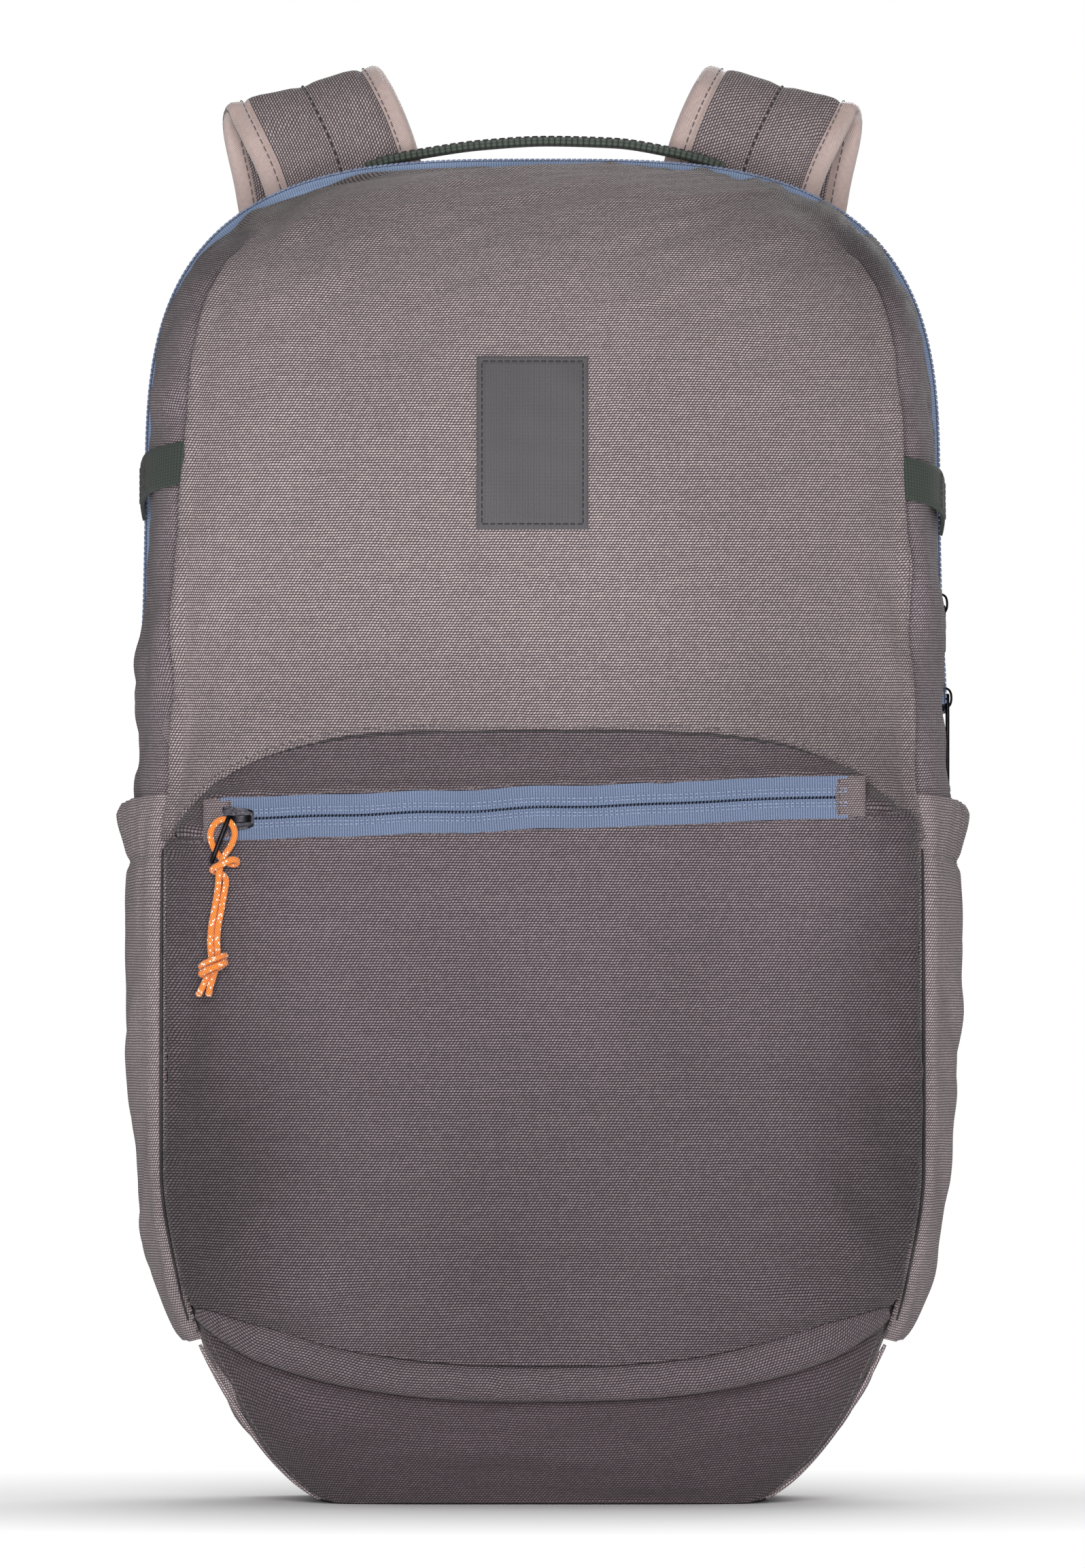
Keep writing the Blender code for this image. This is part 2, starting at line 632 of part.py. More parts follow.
def base_panel():
    """Bottom of the body, rising at the front and at the back."""
    look = material("base_weave", WEAVE_DARK)
    columns = 12
    rows = []
    for share in (1.0, 0.7, 0.45, 0.25, 0.1, 0.03):
        row = []
        for i in range(columns + 1):
            side = -1 + 2 * i / columns
            z = 0.0
            for _ in range(3):
                x = side * (base_seam(z) - 0.0006)
                z = share * (roll_height(x) - ROLL_HALF_BAND - SEAM)
            row.append(Vector((x, front_y(x, z), z)))
        rows.append(row)
    for share, widening in ((0.0, 0.0), (0.2, 0.0080), (0.7, 0.0085), (1.0, 0.0020)):
        row = []
        for i in range(columns + 1):
            side = -1 + 2 * i / columns
            x = side * (base_seam(0.0) - 0.0006)
            start = front_y(x, 0.0)
            end = ZIP_Y + REAR_BASE_DEPTH
            row.append(Vector((x + side * widening, start + (end - start) * share, 0.0)))
        rows.append(row)
    for z in (0.003, 0.012, 0.028, 0.0496):
        reach = half_width(max(z - 0.004, 0.0)) - REAR_INSET - FABRIC - 0.0015
        y = ZIP_Y + rear_depth(z)
        rows.append([Vector(((-1 + 2 * i / columns) * reach, y, z)) for i in range(columns + 1)])
    rows.reverse()
    sheet_slab("base_panel", rows, FABRIC, look)


def side_pockets():
    """Stretch pocket on each side, with its flared elastic hem."""
    look = material("side_pocket_weave", WEAVE_DARK)
    hem_look = material("hem_elastic", WEAVE_DARK)
    places = []
    for z in ease_up(POCKET_FLOOR + 0.004, HEM_BOTTOM - SEAM, 9, 0.9):
        edge = side_edge_angle(z) - 0.006
        row = [-edge * (1 - i / 5) for i in range(6)] + [0.3, 0.6, 0.9]
        places.append([(turn, z) for turn in row])
    hem_places = []
    for z in (HEM_BOTTOM, (HEM_BOTTOM + HEM_TOP) / 2, HEM_TOP):
        edge = side_edge_angle(z) - 0.006
        row = [-edge * (1 - i / 5) for i in range(6)] + [0.3, 0.6, 0.9]
        hem_places.append([(turn, z) for turn in row])

    def flare(turn, z):
        across = min(max((turn + 0.74) / 0.3, 0.0), 1.0) * min(max((0.9 - turn) / 0.3, 0.0), 1.0)
        down = min(max((z - 0.17) / 0.07, 0.0), 1.0)
        return HEM_FLARE * across * down

    def pocket_outer(turn, z):
        return flare(turn, z)

    def pocket_inner(turn, z):
        return flare(turn, z) - THIN

    for side, flip in (("right", False), ("left", True)):
        layer("side_pocket_" + side, places, pocket_inner, pocket_outer, look, flip)
        layer("side_pocket_hem_" + side, hem_places, pocket_inner, pocket_outer, hem_look, flip)


# ---- front pocket ------------------------------------------------------------------------------
def zip_height(x):
    """Height of the front zip's middle line."""
    return ZIP_HEIGHT + ZIP_TILT * x


def roll_height(x):
    """Height of the rolled seam's middle line."""
    return ROLL_HEIGHT + ROLL_RISE * min(abs(x) / ROLL_HALF_WIDTH, 1.05) ** 2.65


def arch_height(x):
    """Seam between the flap's lower fabric and the pocket's top panel."""
    ratio = min(abs(x) / ARCH_SEAM_HALF_WIDTH, 1.0)
    return ARCH_SEAM_LOW + ARCH_SEAM_RISE * (1 - ratio ** 4) ** 0.7


belly_y = through([
    (0.045, -0.0890), (0.070, -0.0965), (0.105, -0.1035), (0.135, -0.1025), (0.170, -0.0965),
    (0.195, -0.0935), (0.238, ZIP_FRONT_Y), (0.262, ZIP_FRONT_Y), (0.285, -0.0870),
])
shoulder = through([(0.045, 0.30), (0.120, 0.35), (0.200, 0.55), (0.238, 0.84), (0.285, 0.84)])


def pocket_y(x, z):
    """Outer face of the front pocket: flat in the middle, rounding back to its side seams."""
    seam_x = front_seam(z)
    clear = FABRIC + THIN + 0.0014
    edge_y = front_y(seam_x, z) - clear
    start = shoulder(z)
    t = min(max((abs(x) / seam_x - start) / (1 - start), 0.0), 1.0)
    bulge = edge_y + (belly_y(z) - edge_y) * math.sqrt(1 - t * t)
    return min(bulge, front_y(x, z) - clear)


def pocket_columns(count):
    """Shares of the half width that crowd towards the side seams."""
    shares = [math.sin(math.pi / 2 * (-1 + 2 * i / count)) for i in range(count + 1)]
    return [0.72 * s + 0.28 * (-1 + 2 * i / count) for i, s in enumerate(shares)]


def pocket_panel():
    """Outer wall of the front pocket."""
    look = material("pocket_weave", WEAVE_DARK)
    rows = []
    for share in spread(0.0, 1.0, 11):
        row = []
        for side in pocket_columns(18):
            z = 0.15
            for _ in range(4):
                x = side * (front_seam(z) - 0.0004)
                low = roll_height(x) + ROLL_HALF_BAND + SEAM
                high = zip_height(x) - ZIP_HALF_BAND - SEAM
                z = low + (high - low) * share
            row.append(Vector((x, pocket_y(x, z), z)))
        rows.append(row)
    sheet_slab("front_pocket", rows, THIN, look)


def pocket_top_panel():
    """Panel between the front zip and the arched seam."""
    look = material("arch_weave", WEAVE_DARK)
    rows = []
    for share in (0.0, 0.5, 1.0):
        row = []
        for x in spread(-0.1200, 0.1115, 14):
            low = zip_height(x) + ZIP_HALF_BAND + 4 * SEAM
            high = arch_height(x)
            z = low + (high - low) * share
            near = pocket_y(x, min(z, 0.262))
            far = front_y(x, z) - FABRIC - THIN
            row.append(Vector((x, near + (far - near) * share ** 1.5, z)))
        rows.append(row)
    sheet_slab("pocket_top_panel", rows, THIN, look)


def front_zip():
    """Two flat tapes with the coil's gap between them, and a fabric tab over each end."""
    look = material("zip_tape", ZIP_BLUE, 0.7)
    for name, low, high in (("front_zip_lower_tape", -ZIP_HALF_BAND, -COIL_GAP),
                            ("front_zip_upper_tape", COIL_GAP, ZIP_HALF_BAND)):
        rows = []
        for level in (low, high):
            xs = spread(ZIP_LEFT, ZIP_RIGHT, 6)
            rows.append([Vector((x, ZIP_FRONT_Y + 0.0002, zip_height(x) + level)) for x in xs])
        sheet_slab(name, rows, THIN, look)
    tab_look = material("zip_tab", TAB_GREY)
    for name, start, end in (("front_zip_tab_left", ZIP_LEFT - SEAM - TAB_WIDTH, ZIP_LEFT - SEAM),
                             ("front_zip_tab_right", ZIP_RIGHT + SEAM, ZIP_RIGHT + SEAM + TAB_WIDTH)):
        rows = []
        for level in (-ZIP_HALF_BAND, 0.0, ZIP_HALF_BAND):
            row = []
            for x in spread(start, end, 4):
                z = zip_height(x) + level
                row.append(Vector((x, pocket_y(x, z), z)))
            rows.append(row)
        sheet_slab(name, rows, THIN, tab_look)


def bottom_roll():
    """Rolled seam where the front pocket meets the base."""
    look = material("roll_weave", WEAVE_DARK)
    path, sides, sections = [], [], []
    for x in spread(-ROLL_HALF_WIDTH + 0.001, ROLL_HALF_WIDTH - 0.001, 20):
        z = roll_height(x)
        end = min((ROLL_HALF_WIDTH - abs(x)) / 0.02, 1.0)
        thick = 0.0022 + 0.0012 * end
        tall = (ROLL_HALF_BAND - SEAM) * (0.62 + 0.38 * end)
        path.append(Vector((x, front_y(x, z) - thick - 0.0012, z)))
        sides.append(Vector((0.0, 0.0, 1.0)))
        sections.append([(tall * math.cos(math.tau * k / 8), thick * math.sin(math.tau * k / 8))
                         for k in range(8)])
    sweep("pocket_bottom_roll", path, sides, sections, look)


def front_zip_slider():
    """Slider and its wire loop pull, which widens towards the free end."""
    metal = material("gunmetal", GUNMETAL, 0.35, 1.0)
    z = zip_height(SLIDER_X)
    box("front_slider", (SLIDER_X - 0.0060, ZIP_FRONT_Y - 0.0034, z - 0.0048),
        (SLIDER_X + 0.0050, ZIP_FRONT_Y - 0.0003, z + 0.0048), metal, 0.0008)
    pivot = Vector(FRONT_PULL_PIVOT)
    path = []
    for k in range(20):
        angle = math.tau * k / 20
        along, across = -math.cos(angle), math.sin(angle)
        reach = FRONT_PULL_REACH * (1 - along)
        width = FRONT_PULL_HALF_WIDTH * across * (0.7 + 0.4 * (1 - along) / 2)
        path.append(pivot + FRONT_PULL_LEAN * reach + FRONT_PULL_ACROSS * width)
    sides = [Vector((0.0, -1.0, 0.0))] * len(path)
    sweep("front_pull_loop", path, sides, [round_section(WIRE_RADIUS)] * len(path), metal, True,
          tuple(pivot))


def pull_cord():
    """Cord looped through the wire pull; both strands end in one overhand knot."""
    look = material("orange_cord", ORANGE_CORD)
    curve = bpy.data.curves.new("pull_cord", "CURVE")
    curve.dimensions = "3D"
    curve.bevel_depth = CORD_DIAMETER / 2
    curve.bevel_resolution = 2
    curve.use_fill_caps = True
    points = smooth_path(CORD_ROUTE, 40)
    spline = curve.splines.new("POLY")
    spline.points.add(len(points) - 1)
    pivot = Vector(CORD_PIVOT)
    for place, point in zip(spline.points, points):
        place.co = (*(point - pivot), 1.0)
    curve.materials.append(look)
    cord = bpy.data.objects.new("pull_cord", curve)
    cord.location = pivot
    bpy.context.collection.objects.link(cord)
    path = [Vector((-0.1212 + (KNOT_HEIGHTS[0] - z) * -0.20, -0.1008, z)) for z in KNOT_HEIGHTS]
    sections = [round_section(r) for r in KNOT_RADII]
    sweep("cord_knot", path, [Vector((1.0, 0.0, 0.0))] * len(path), sections, look, pivot=CORD_PIVOT)


# ---- main zip ----------------------------------------------------------------------------------
def main_zip():
    """Two tapes that run from side to side over the top."""
    look = material("main_zip_tape", ZIP_BLUE, 0.7)
    for name, near, far, start in (
            ("main_zip_rear_tape", SEAM / 2, MAIN_TAPE, LID_AXIS_Z + SEAM),
            ("main_zip_front_tape", -SEAM / 2, -MAIN_TAPE, LID_AXIS_Z + MAIN_TAPE * LID_SLOPE + SEAM)):
        line = outline(20, start)
        edges = sorted((near, far))
        outer = [[p + Vector((0, ZIP_Y + e, 0)) for p in inset_outline(line, TAPE_RECESS)] for e in edges]
        inner = [[p + Vector((0, ZIP_Y + e, 0)) for p in inset_outline(line, TAPE_RECESS + THIN)]
                 for e in edges]
        slab(name, outer, inner, look)


def main_sliders():
    """Two sliders parked near the right end of the main zip, each with a hanging wire pull."""
    metal = material("gunmetal", GUNMETAL, 0.35, 1.0)
    for name, rise, reach in (("lower", SLIDER_LOW, PULL_LOWER_REACH),
                              ("upper", SLIDER_HIGH, PULL_UPPER_REACH)):
        low = LID_AXIS_Z + rise
        high = low + SLIDER_LENGTH
        inside = half_width(low) - TAPE_RECESS + 0.0006
        box("main_slider_" + name, (inside, ZIP_Y - SLIDER_HALF_WIDTH, low),
            (inside + SLIDER_PROUD, ZIP_Y + SLIDER_HALF_WIDTH, high), metal, 0.0008)
        pivot = Vector((inside + PULL_STANDOFF, ZIP_Y, (low + high) / 2))
        path = []
        for k in range(20):
            angle = math.tau * k / 20
            drop = reach / 2 * (1 - math.cos(angle))
            path.append(pivot + Vector((0.0, PULL_HALF_WIDTH * math.sin(angle), -drop)))
        sweep("main_pull_" + name, path, [Vector((1.0, 0.0, 0.0))] * len(path),
              [round_section(WIRE_RADIUS)] * len(path), metal, True, tuple(pivot))


# ---- trim on the flap --------------------------------------------------------------------------
def patch():
    """Blank rectangular patch sewn on the front panel."""
    look = material("patch", TAB_GREY, 0.8)
    rows_out, rows_in = [], []
    for z in spread(PATCH_LOW, PATCH_HIGH, 6):
        out, back = [], []
        for x in spread(PATCH_LEFT, PATCH_RIGHT, 3):
            base = Vector((x, front_y(x, z), z))
            slope = (front_y(x, z + 0.001) - front_y(x, z - 0.001)) / 0.002
            normal = Vector((0.0, -1.0, slope)).normalized()
            back.append(base + normal * SEAM)
            out.append(base + normal * (SEAM + THIN))
        rows_out.append(out)
        rows_in.append(back)
    slab("patch", rows_out, rows_in, look)


def lash_webbing():
    """Flat webbing sewn across each flap gusset."""
    look = material("lash_webbing", GREEN_WEBBING)
    for name, flip, drop in (("lash_webbing_left", True, 0.0),
                             ("lash_webbing_right", False, LASH_RIGHT_LOWER)):
        front = LASH_HEIGHT - drop
        first = section_angle(front_seam(front), front) - 0.02
        places = []
        for level in (-LASH_HALF_WIDTH, LASH_HALF_WIDTH):
            row = []
            for i in range(7):
                share = i / 6
                angle = first * (1 - share) + LASH_END_ANGLE * share
                row.append((-angle, front - LASH_DROP * share + level))
            places.append(row)
        layer(name, places, constant(2 * SEAM), constant(2 * SEAM + THIN), look, flip)


# ---- back --------------------------------------------------------------------------------------
def plate(name, margin, low, y_front, y_back, look, rows=10):
    """Flat plate that follows the outline of the back."""
    line = inset_outline(outline(14, 0.300), REAR_INSET + margin)
    half = line[:len(line) // 2 + 1]
    edge = [(half_width(z) - REAR_INSET - margin, z) for z in spread(low, 0.280, rows)]
    edge += [(p.x, p.z) for p in half if p.z > 0.285]
    columns = 4
    faces = []
    for y in (y_back, y_front):
        grid = []
        for x, z in edge[:-1]:
            grid.append([Vector((x * (-1 + 2 * i / columns), y, z)) for i in range(columns + 1)])
        faces.append(grid)
    slab(name, faces[0], faces[1], look)


def back_panel():
    """Back of the body and the plastic sheet inside it."""
    plate("back_panel", 0.0, 0.0500, BACK_Y, BACK_Y + FABRIC, material("back_panel", WEAVE_DARK))
    front = BACK_Y - 0.0022
    plate("frame_sheet", 0.0120, 0.0600, front, front + SHEET_THICKNESS,
          material("frame_sheet", SHEET_WHITE, 0.5))


def laptop_sleeve():
    """Flat inner pocket against the back."""
    look = material("sleeve", LINING)
    rows = []
    for z in spread(0.060, 0.345, 3):
        row = []
        for i in range(11):
            side = -1 + 2 * i / 10
            y = BACK_Y - SLEEVE_DEPTH + 0.0130 * abs(side) ** 6
            row.append(Vector((side * SLEEVE_HALF_WIDTH, y, z)))
        rows.append(row)
    sheet_slab("laptop_sleeve", rows, THIN, look)


def back_pads():
    """Two tall foam pads under mesh with an air channel between them, and a lumbar pad."""
    look = material("mesh_pad", MESH_CLOTH)
    pad_block("back_pad_right", PAD_INNER, PAD_OUTER, PAD_LOW, PAD_HIGH, PAD_THICKNESS, look)
    pad_block("back_pad_left", -PAD_OUTER, -PAD_INNER, PAD_LOW, PAD_HIGH, PAD_THICKNESS, look)
    pad_block("lumbar_pad", -PAD_OUTER, PAD_OUTER, LUMBAR_LOW, LUMBAR_HIGH, LUMBAR_THICKNESS, look)


def pad_block(name, first, last, low, high, thick, look):
    """Low cushion whose face is crowned and whose rim is thin."""
    outer, inner = [], []
    for j in range(9):
        v = j / 8
        out, back = [], []
        for i in range(7):
            u = i / 6
            crown = (1 - abs(2 * u - 1) ** 4) * (1 - abs(2 * v - 1) ** 6)
            x = first + (last - first) * u
            z = low + (high - low) * v
            out.append(Vector((x, PAD_STANDOFF + PAD_RIM + (thick - PAD_RIM) * crown, z)))
            back.append(Vector((x, PAD_STANDOFF, z)))
        outer.append(out)
        inner.append(back)
    slab(name, outer, inner, look)


def haul_handle():
    """Webbing loop over the top."""
    look = material("haul_handle", GREEN_WEBBING)
    points = [(x, HANDLE_Y, z) for x, z in HANDLE_ARC]
    ribbon("haul_handle", points, (0.0, 1.0, 0.0), HANDLE_WIDTH, HANDLE_THICKNESS, look, 24,
           (0.0, HANDLE_Y, HANDLE_PIVOT_Z))


# ---- straps ------------------------------------------------------------------------------------
def strap_line(count):
    """Centre points, side directions and widths along the right shoulder strap."""
    knots = list(range(len(STRAP_ROUTE)))
    path = smooth_path(STRAP_ROUTE, count)
    tilt = through(list(zip(knots, STRAP_TILT)))
    width = through(list(zip(knots, STRAP_WIDTH)))
    last = len(STRAP_ROUTE) - 1
    sides, widths = [], []
    for i in range(count + 1):
        at = last * i / count
        sides.append(Vector((1.0, 0.0, -tilt(at))).normalized())
        widths.append(width(at))
    return path, sides, widths


def shoulder_straps():
    """Each strap is two solids that meet at its fold: the sewn end and the part that swings."""
    look = material("shoulder_strap", BINDING)
    path, sides, widths = strap_line(STRAP_STEPS)
    sections = [flat_section(w, STRAP_THICKNESS, 0.3) for w in widths]
    fold = STRAP_FOLD_POINT
    swing = slice(fold, None)
    sewn = slice(0, fold + 1)
    travel = directions(path)
    cut = travel[fold] * SEAM
    for name, part, shift in (("shoulder_strap", swing, cut), ("strap_sewn_end", sewn, -cut)):
        points = path[part]
        end = 0 if part is swing else -1
        points[end] = points[end] + shift
        pivot = (0.0, path[fold].y, STRAP_HINGE_Z)
        sweep(name + "_right", points, sides[part], sections[part], look, pivot=pivot, travel=travel[part])
        left_points = [mirrored(p) for p in reversed(points)]
        left_sides = [Vector((s.x, s.y, -s.z)) for s in reversed(sides[part])]
        left_travel = [Vector((t.x, -t.y, -t.z)) for t in reversed(travel[part])]
        sweep(name + "_left", left_points, left_sides, list(reversed(sections[part])), look,
              pivot=pivot, travel=left_travel)


def strap_yoke():
    """Stitched panel that holds the tops of both straps to the back."""
    look = material("yoke", WEAVE_DARK)
    box("strap_yoke", (-YOKE_HALF_WIDTH, BACK_Y + FABRIC + SEAM, YOKE_LOW),
        (YOKE_HALF_WIDTH, BACK_Y + FABRIC + YOKE_DEPTH, YOKE_HIGH), look, 0.0006)


def ladder_lock(name, centre, look):
    """Buckle frame with two slots, cut from a rounded block."""
    centre, half, slot_half = Vector(centre), Vector(LOCK_HALF), Vector(LOCK_SLOT_HALF)
    body = box(name, centre - half, centre + half, look, 0.0008,
               (centre.x, centre.y, centre.z + LOCK_PIVOT_RISE))
    for level in (-LOCK_SLOT_OFFSET, LOCK_SLOT_OFFSET):
        middle = centre + Vector((0.0, 0.0, level))
        cutter = box(name + "_slot", middle - slot_half, middle + slot_half, look)
        cutter.hide_render = True
        cutter.display_type = "WIRE"
        cut = body.modifiers.new("slot", "BOOLEAN")
        cut.operation = "DIFFERENCE"
        cut.solver = "EXACT"
        cut.object = cutter


def lower_webbing():
    """Adjuster webbing: bottom tab, ladder lock and the webbing between them, on each side."""
    plastic = material("black_plastic", BLACK_PLASTIC, 0.5)
    webbing = material("adjuster_webbing", GREEN_WEBBING)
    for side, flip in (("right", 1.0), ("left", -1.0)):
        x, y, z = flip * LOCK_CENTRE[0], LOCK_CENTRE[1], LOCK_CENTRE[2]
        ladder_lock("ladder_lock_" + side, (x, y, z), plastic)
        tab = [(x, y + 0.0008, z + 0.0262), (x, y + 0.0040, z + 0.0170), (x, y + 0.0040, z + 0.0105),
               (x, y + 0.0005, z + 0.0070), (x, y - 0.0040, z + 0.0092), (x, y - 0.0042, z + 0.0170)]
        ribbon("strap_tab_" + side, tab, (1.0, 0.0, 0.0), WEBBING, WEBBING_THICKNESS, webbing, 14)
        path = [(flip * 0.0965, 0.0905, 0.0480), (flip * 0.0970, 0.0960, 0.0620),
                (flip * 0.0995, 0.1075, 0.1000), (x, y - 0.0052, z - 0.0150), (x, y - 0.0036, z - 0.0105),
                (x, y + 0.0002, z - 0.0070), (x, y + 0.0040, z - 0.0100), (x, y + 0.0058, z - 0.0180),
                (x, y + 0.0080, z - 0.0600), (x - flip * 0.002, y + 0.0070, z - 0.1100)]
        ribbon("adjuster_webbing_" + side, path, (1.0, 0.0, 0.0), WEBBING, WEBBING_THICKNESS, webbing, 30)
        left, right = sorted(flip * edge for edge in BOTTOM_TAB_X)
        box("bottom_tab_" + side, (left, BACK_Y + FABRIC + SEAM, BOTTOM_TAB_Z[0]),
            (right, BACK_Y + FABRIC + 0.0034, BOTTOM_TAB_Z[1]), webbing, 0.0006)


def sternum_strap():
    """Chest strap that joins the shoulder straps, with a side release buckle."""
    plastic = material("black_plastic", BLACK_PLASTIC, 0.5)
    webbing = material("sternum_webbing", GREEN_WEBBING)
    y, z = STERNUM_Y, STERNUM_Z
    for side, flip in (("right", 1.0), ("left", -1.0)):
        first, last = sorted((flip * STERNUM_INNER, flip * STERNUM_OUTER))
        box("sternum_webbing_" + side, (first, y - WEBBING_THICKNESS / 2, z - STERNUM_HALF_WIDTH),
            (last, y + WEBBING_THICKNESS / 2, z + STERNUM_HALF_WIDTH), webbing)
        centre, half = Vector((flip * ANCHOR_X, y, z)), Vector(ANCHOR_HALF)
        box("sternum_anchor_" + side, centre - half, centre + half, plastic, 0.0010)
    box("buckle_female", (-0.0230, y - 0.0040, z - 0.0135), (0.0040, y + 0.0040, z + 0.0135),
        plastic, 0.0015)
    box("buckle_male", (0.0045, y - 0.0032, z - 0.0125), (0.0230, y + 0.0032, z + 0.0125),
        plastic, 0.0012)


def main():
    for thing in list(bpy.data.objects):
        bpy.data.objects.remove(thing, do_unlink=True)
    front_panel()
    side_gussets()
    front_fold()
    lower_front()
    side_panels()
    rear_gusset()
    base_panel()
    side_pockets()
    pocket_panel()
    pocket_top_panel()
    front_zip()
    bottom_roll()
    front_zip_slider()
    pull_cord()
    main_zip()
    main_sliders()
    patch()
    lash_webbing()
    back_panel()
    laptop_sleeve()
    back_pads()
    haul_handle()
    shoulder_straps()
    strap_yoke()
    lower_webbing()
    sternum_strap()


main()
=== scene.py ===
import math

import bmesh
import bpy
import numpy as np
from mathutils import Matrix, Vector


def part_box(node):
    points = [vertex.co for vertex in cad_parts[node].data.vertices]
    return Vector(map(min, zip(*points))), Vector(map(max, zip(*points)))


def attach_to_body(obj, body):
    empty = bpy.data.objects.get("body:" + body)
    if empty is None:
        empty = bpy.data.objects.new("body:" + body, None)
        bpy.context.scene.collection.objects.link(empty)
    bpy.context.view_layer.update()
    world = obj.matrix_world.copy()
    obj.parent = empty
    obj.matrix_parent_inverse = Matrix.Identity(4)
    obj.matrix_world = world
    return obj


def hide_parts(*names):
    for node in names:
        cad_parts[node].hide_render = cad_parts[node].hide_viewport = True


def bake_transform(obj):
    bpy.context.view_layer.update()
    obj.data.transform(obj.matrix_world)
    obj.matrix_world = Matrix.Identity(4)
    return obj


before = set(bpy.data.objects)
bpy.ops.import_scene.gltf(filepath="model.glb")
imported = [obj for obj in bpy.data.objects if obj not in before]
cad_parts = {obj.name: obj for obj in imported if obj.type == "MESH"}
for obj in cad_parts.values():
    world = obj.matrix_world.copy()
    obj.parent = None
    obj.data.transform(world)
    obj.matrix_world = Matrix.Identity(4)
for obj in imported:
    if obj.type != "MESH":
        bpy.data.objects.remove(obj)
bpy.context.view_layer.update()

# Looks of the daypack: cloth, zips, webbing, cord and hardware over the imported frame. The front faces
# -Y, +X is to the viewer's right, +Z is up, and lengths are metres. The body cloth is drawn over the
# same shell as the frame: every level section is a superellipse, and it narrows to the top.

# ---- shell -------------------------------------------------------------------------------------
HEIGHT = 0.484                # floor to the top of the body
ZIP_Y = 0.035                 # plane of the main zip
BACK_Y = 0.083                # front face of the back panel
BASE_HALF_WIDTH = 0.085       # half width of the flat base
LOWER_HALF_WIDTH = 0.143      # half width where the bottom curve ends
LOWER_CURVE_HEIGHT = 0.106
ARCH_HALF_WIDTH = 0.1435      # half width where the top arch starts
ARCH_START = 0.36
ARCH_POWER = 3.2
SECTION_POWER = 5.0
FRONT_DEPTH = 0.12            # zip plane to the front, at the belly
FRONT_BASE_DEPTH = 0.085
REAR_BASE_DEPTH = 0.042
REAR_INSET = 0.006            # how much narrower the back panel is than the zip outline
LID_AXIS_Z = 0.283            # height of the line that the flap folds about
MAIN_TAPE = 0.0068            # visible width of each main zip tape

ZIP_HEIGHT = 0.2496           # height of the front pocket's zip at the middle
ZIP_TILT = 0.0366             # its rise per metre of width
ZIP_HALF_BAND = 0.0068
ZIP_LEFT = -0.1108
ZIP_RIGHT = 0.105
ZIP_FRONT_Y = -0.0915
TAB_WIDTH = 0.01

ROLL_HEIGHT = 0.0442          # height of the rolled seam under the pocket, at the middle
ROLL_RISE = 0.0248
ROLL_HALF_WIDTH = 0.1235
ROLL_HALF_BAND = 0.0066
ARCH_HALF_SPAN = 0.1315       # half width of the arched seam over the pocket
ARCH_FOOT = 0.238
ARCH_RISE = 0.039

HEM_TOP = 0.2545              # top of the side pockets
HEM_BOTTOM = 0.2325
POCKET_FLOOR = 0.056
DART_TIP = 0.447              # height where the front seams fade out

PANEL_TOP = 0.2815            # top of the side panels, where the flap begins
FRONT_TAPE_START = 0.287      # lower ends of the main zip's front and rear tape
REAR_TAPE_START = 0.2836
BASE_SEAM_TOP = 0.058         # height of the base panel's upper corners
BASE_SEAM_FOOT = 0.076        # half width of the base panel at the floor
BASE_SEAM_SPREAD = 0.0485     # how much wider it is at its upper corners
POCKET_GAP = 0.0048           # how far the front pocket's edge stands off the body

CLOTH = 0.0012                # thickness of a cloth layer
ACROSS, REARWARD, UPWARD = (1.0, 0.0, 0.0), (0.0, 1.0, 0.0), (0.0, 0.0, 1.0)
SIDES = (("right", 1.0), ("left", -1.0))


def through(points):
    """A smooth function that passes through (input, value) points without overshooting."""
    xs, ys = (np.array(v, float) for v in zip(*points))
    steps = np.diff(ys) / np.diff(xs)
    total = steps[:-1] + steps[1:]
    product = steps[:-1] * steps[1:]
    inner = np.where(product <= 0, 0.0, 2 * product / np.where(total == 0, 1.0, total))
    slopes = np.concatenate([steps[:1], inner, steps[-1:]])

    def value(x):
        x = np.clip(x, xs[0], xs[-1])
        i = np.clip(np.searchsorted(xs, x, side="right") - 1, 0, len(xs) - 2)
        width = xs[i + 1] - xs[i]
        t = (x - xs[i]) / width
        rise = ys[i + 1] - ys[i]
        bend = width * ((1 - t) * slopes[i] - t * slopes[i + 1]) - (1 - 2 * t) * rise
        return ys[i] + t * rise + t * (1 - t) * bend

    return value


def swell(height, top):
    """0 at the floor rising to 1 at top, level at the floor."""
    return (1 - np.clip((top - height) / top, 0, 1) ** 1.8) ** 0.91


side_line = through([
    (0.106, 0.143), (0.155, 0.147), (0.205, 0.149), (0.254, 0.148),
    (0.266, 0.1462), (0.291, 0.1458), (0.325, 0.1442), (0.36, 0.1435),
])
front_seam = through([
    (0.058, 0.1245), (0.078, 0.13), (0.12, 0.1365), (0.23, 0.136), (0.259, 0.133),
    (0.315, 0.131), (0.406, 0.126), (0.43, 0.1215), (0.447, 0.1135),
])
belly_y = through([
    (0.045, -0.089), (0.07, -0.0965), (0.105, -0.1035), (0.135, -0.1025), (0.17, -0.0965),
    (0.195, -0.0935), (0.238, ZIP_FRONT_Y), (0.262, ZIP_FRONT_Y), (0.285, -0.087),
])
shoulder = through([(0.045, 0.3), (0.12, 0.35), (0.2, 0.55), (0.238, 0.84), (0.285, 0.84)])


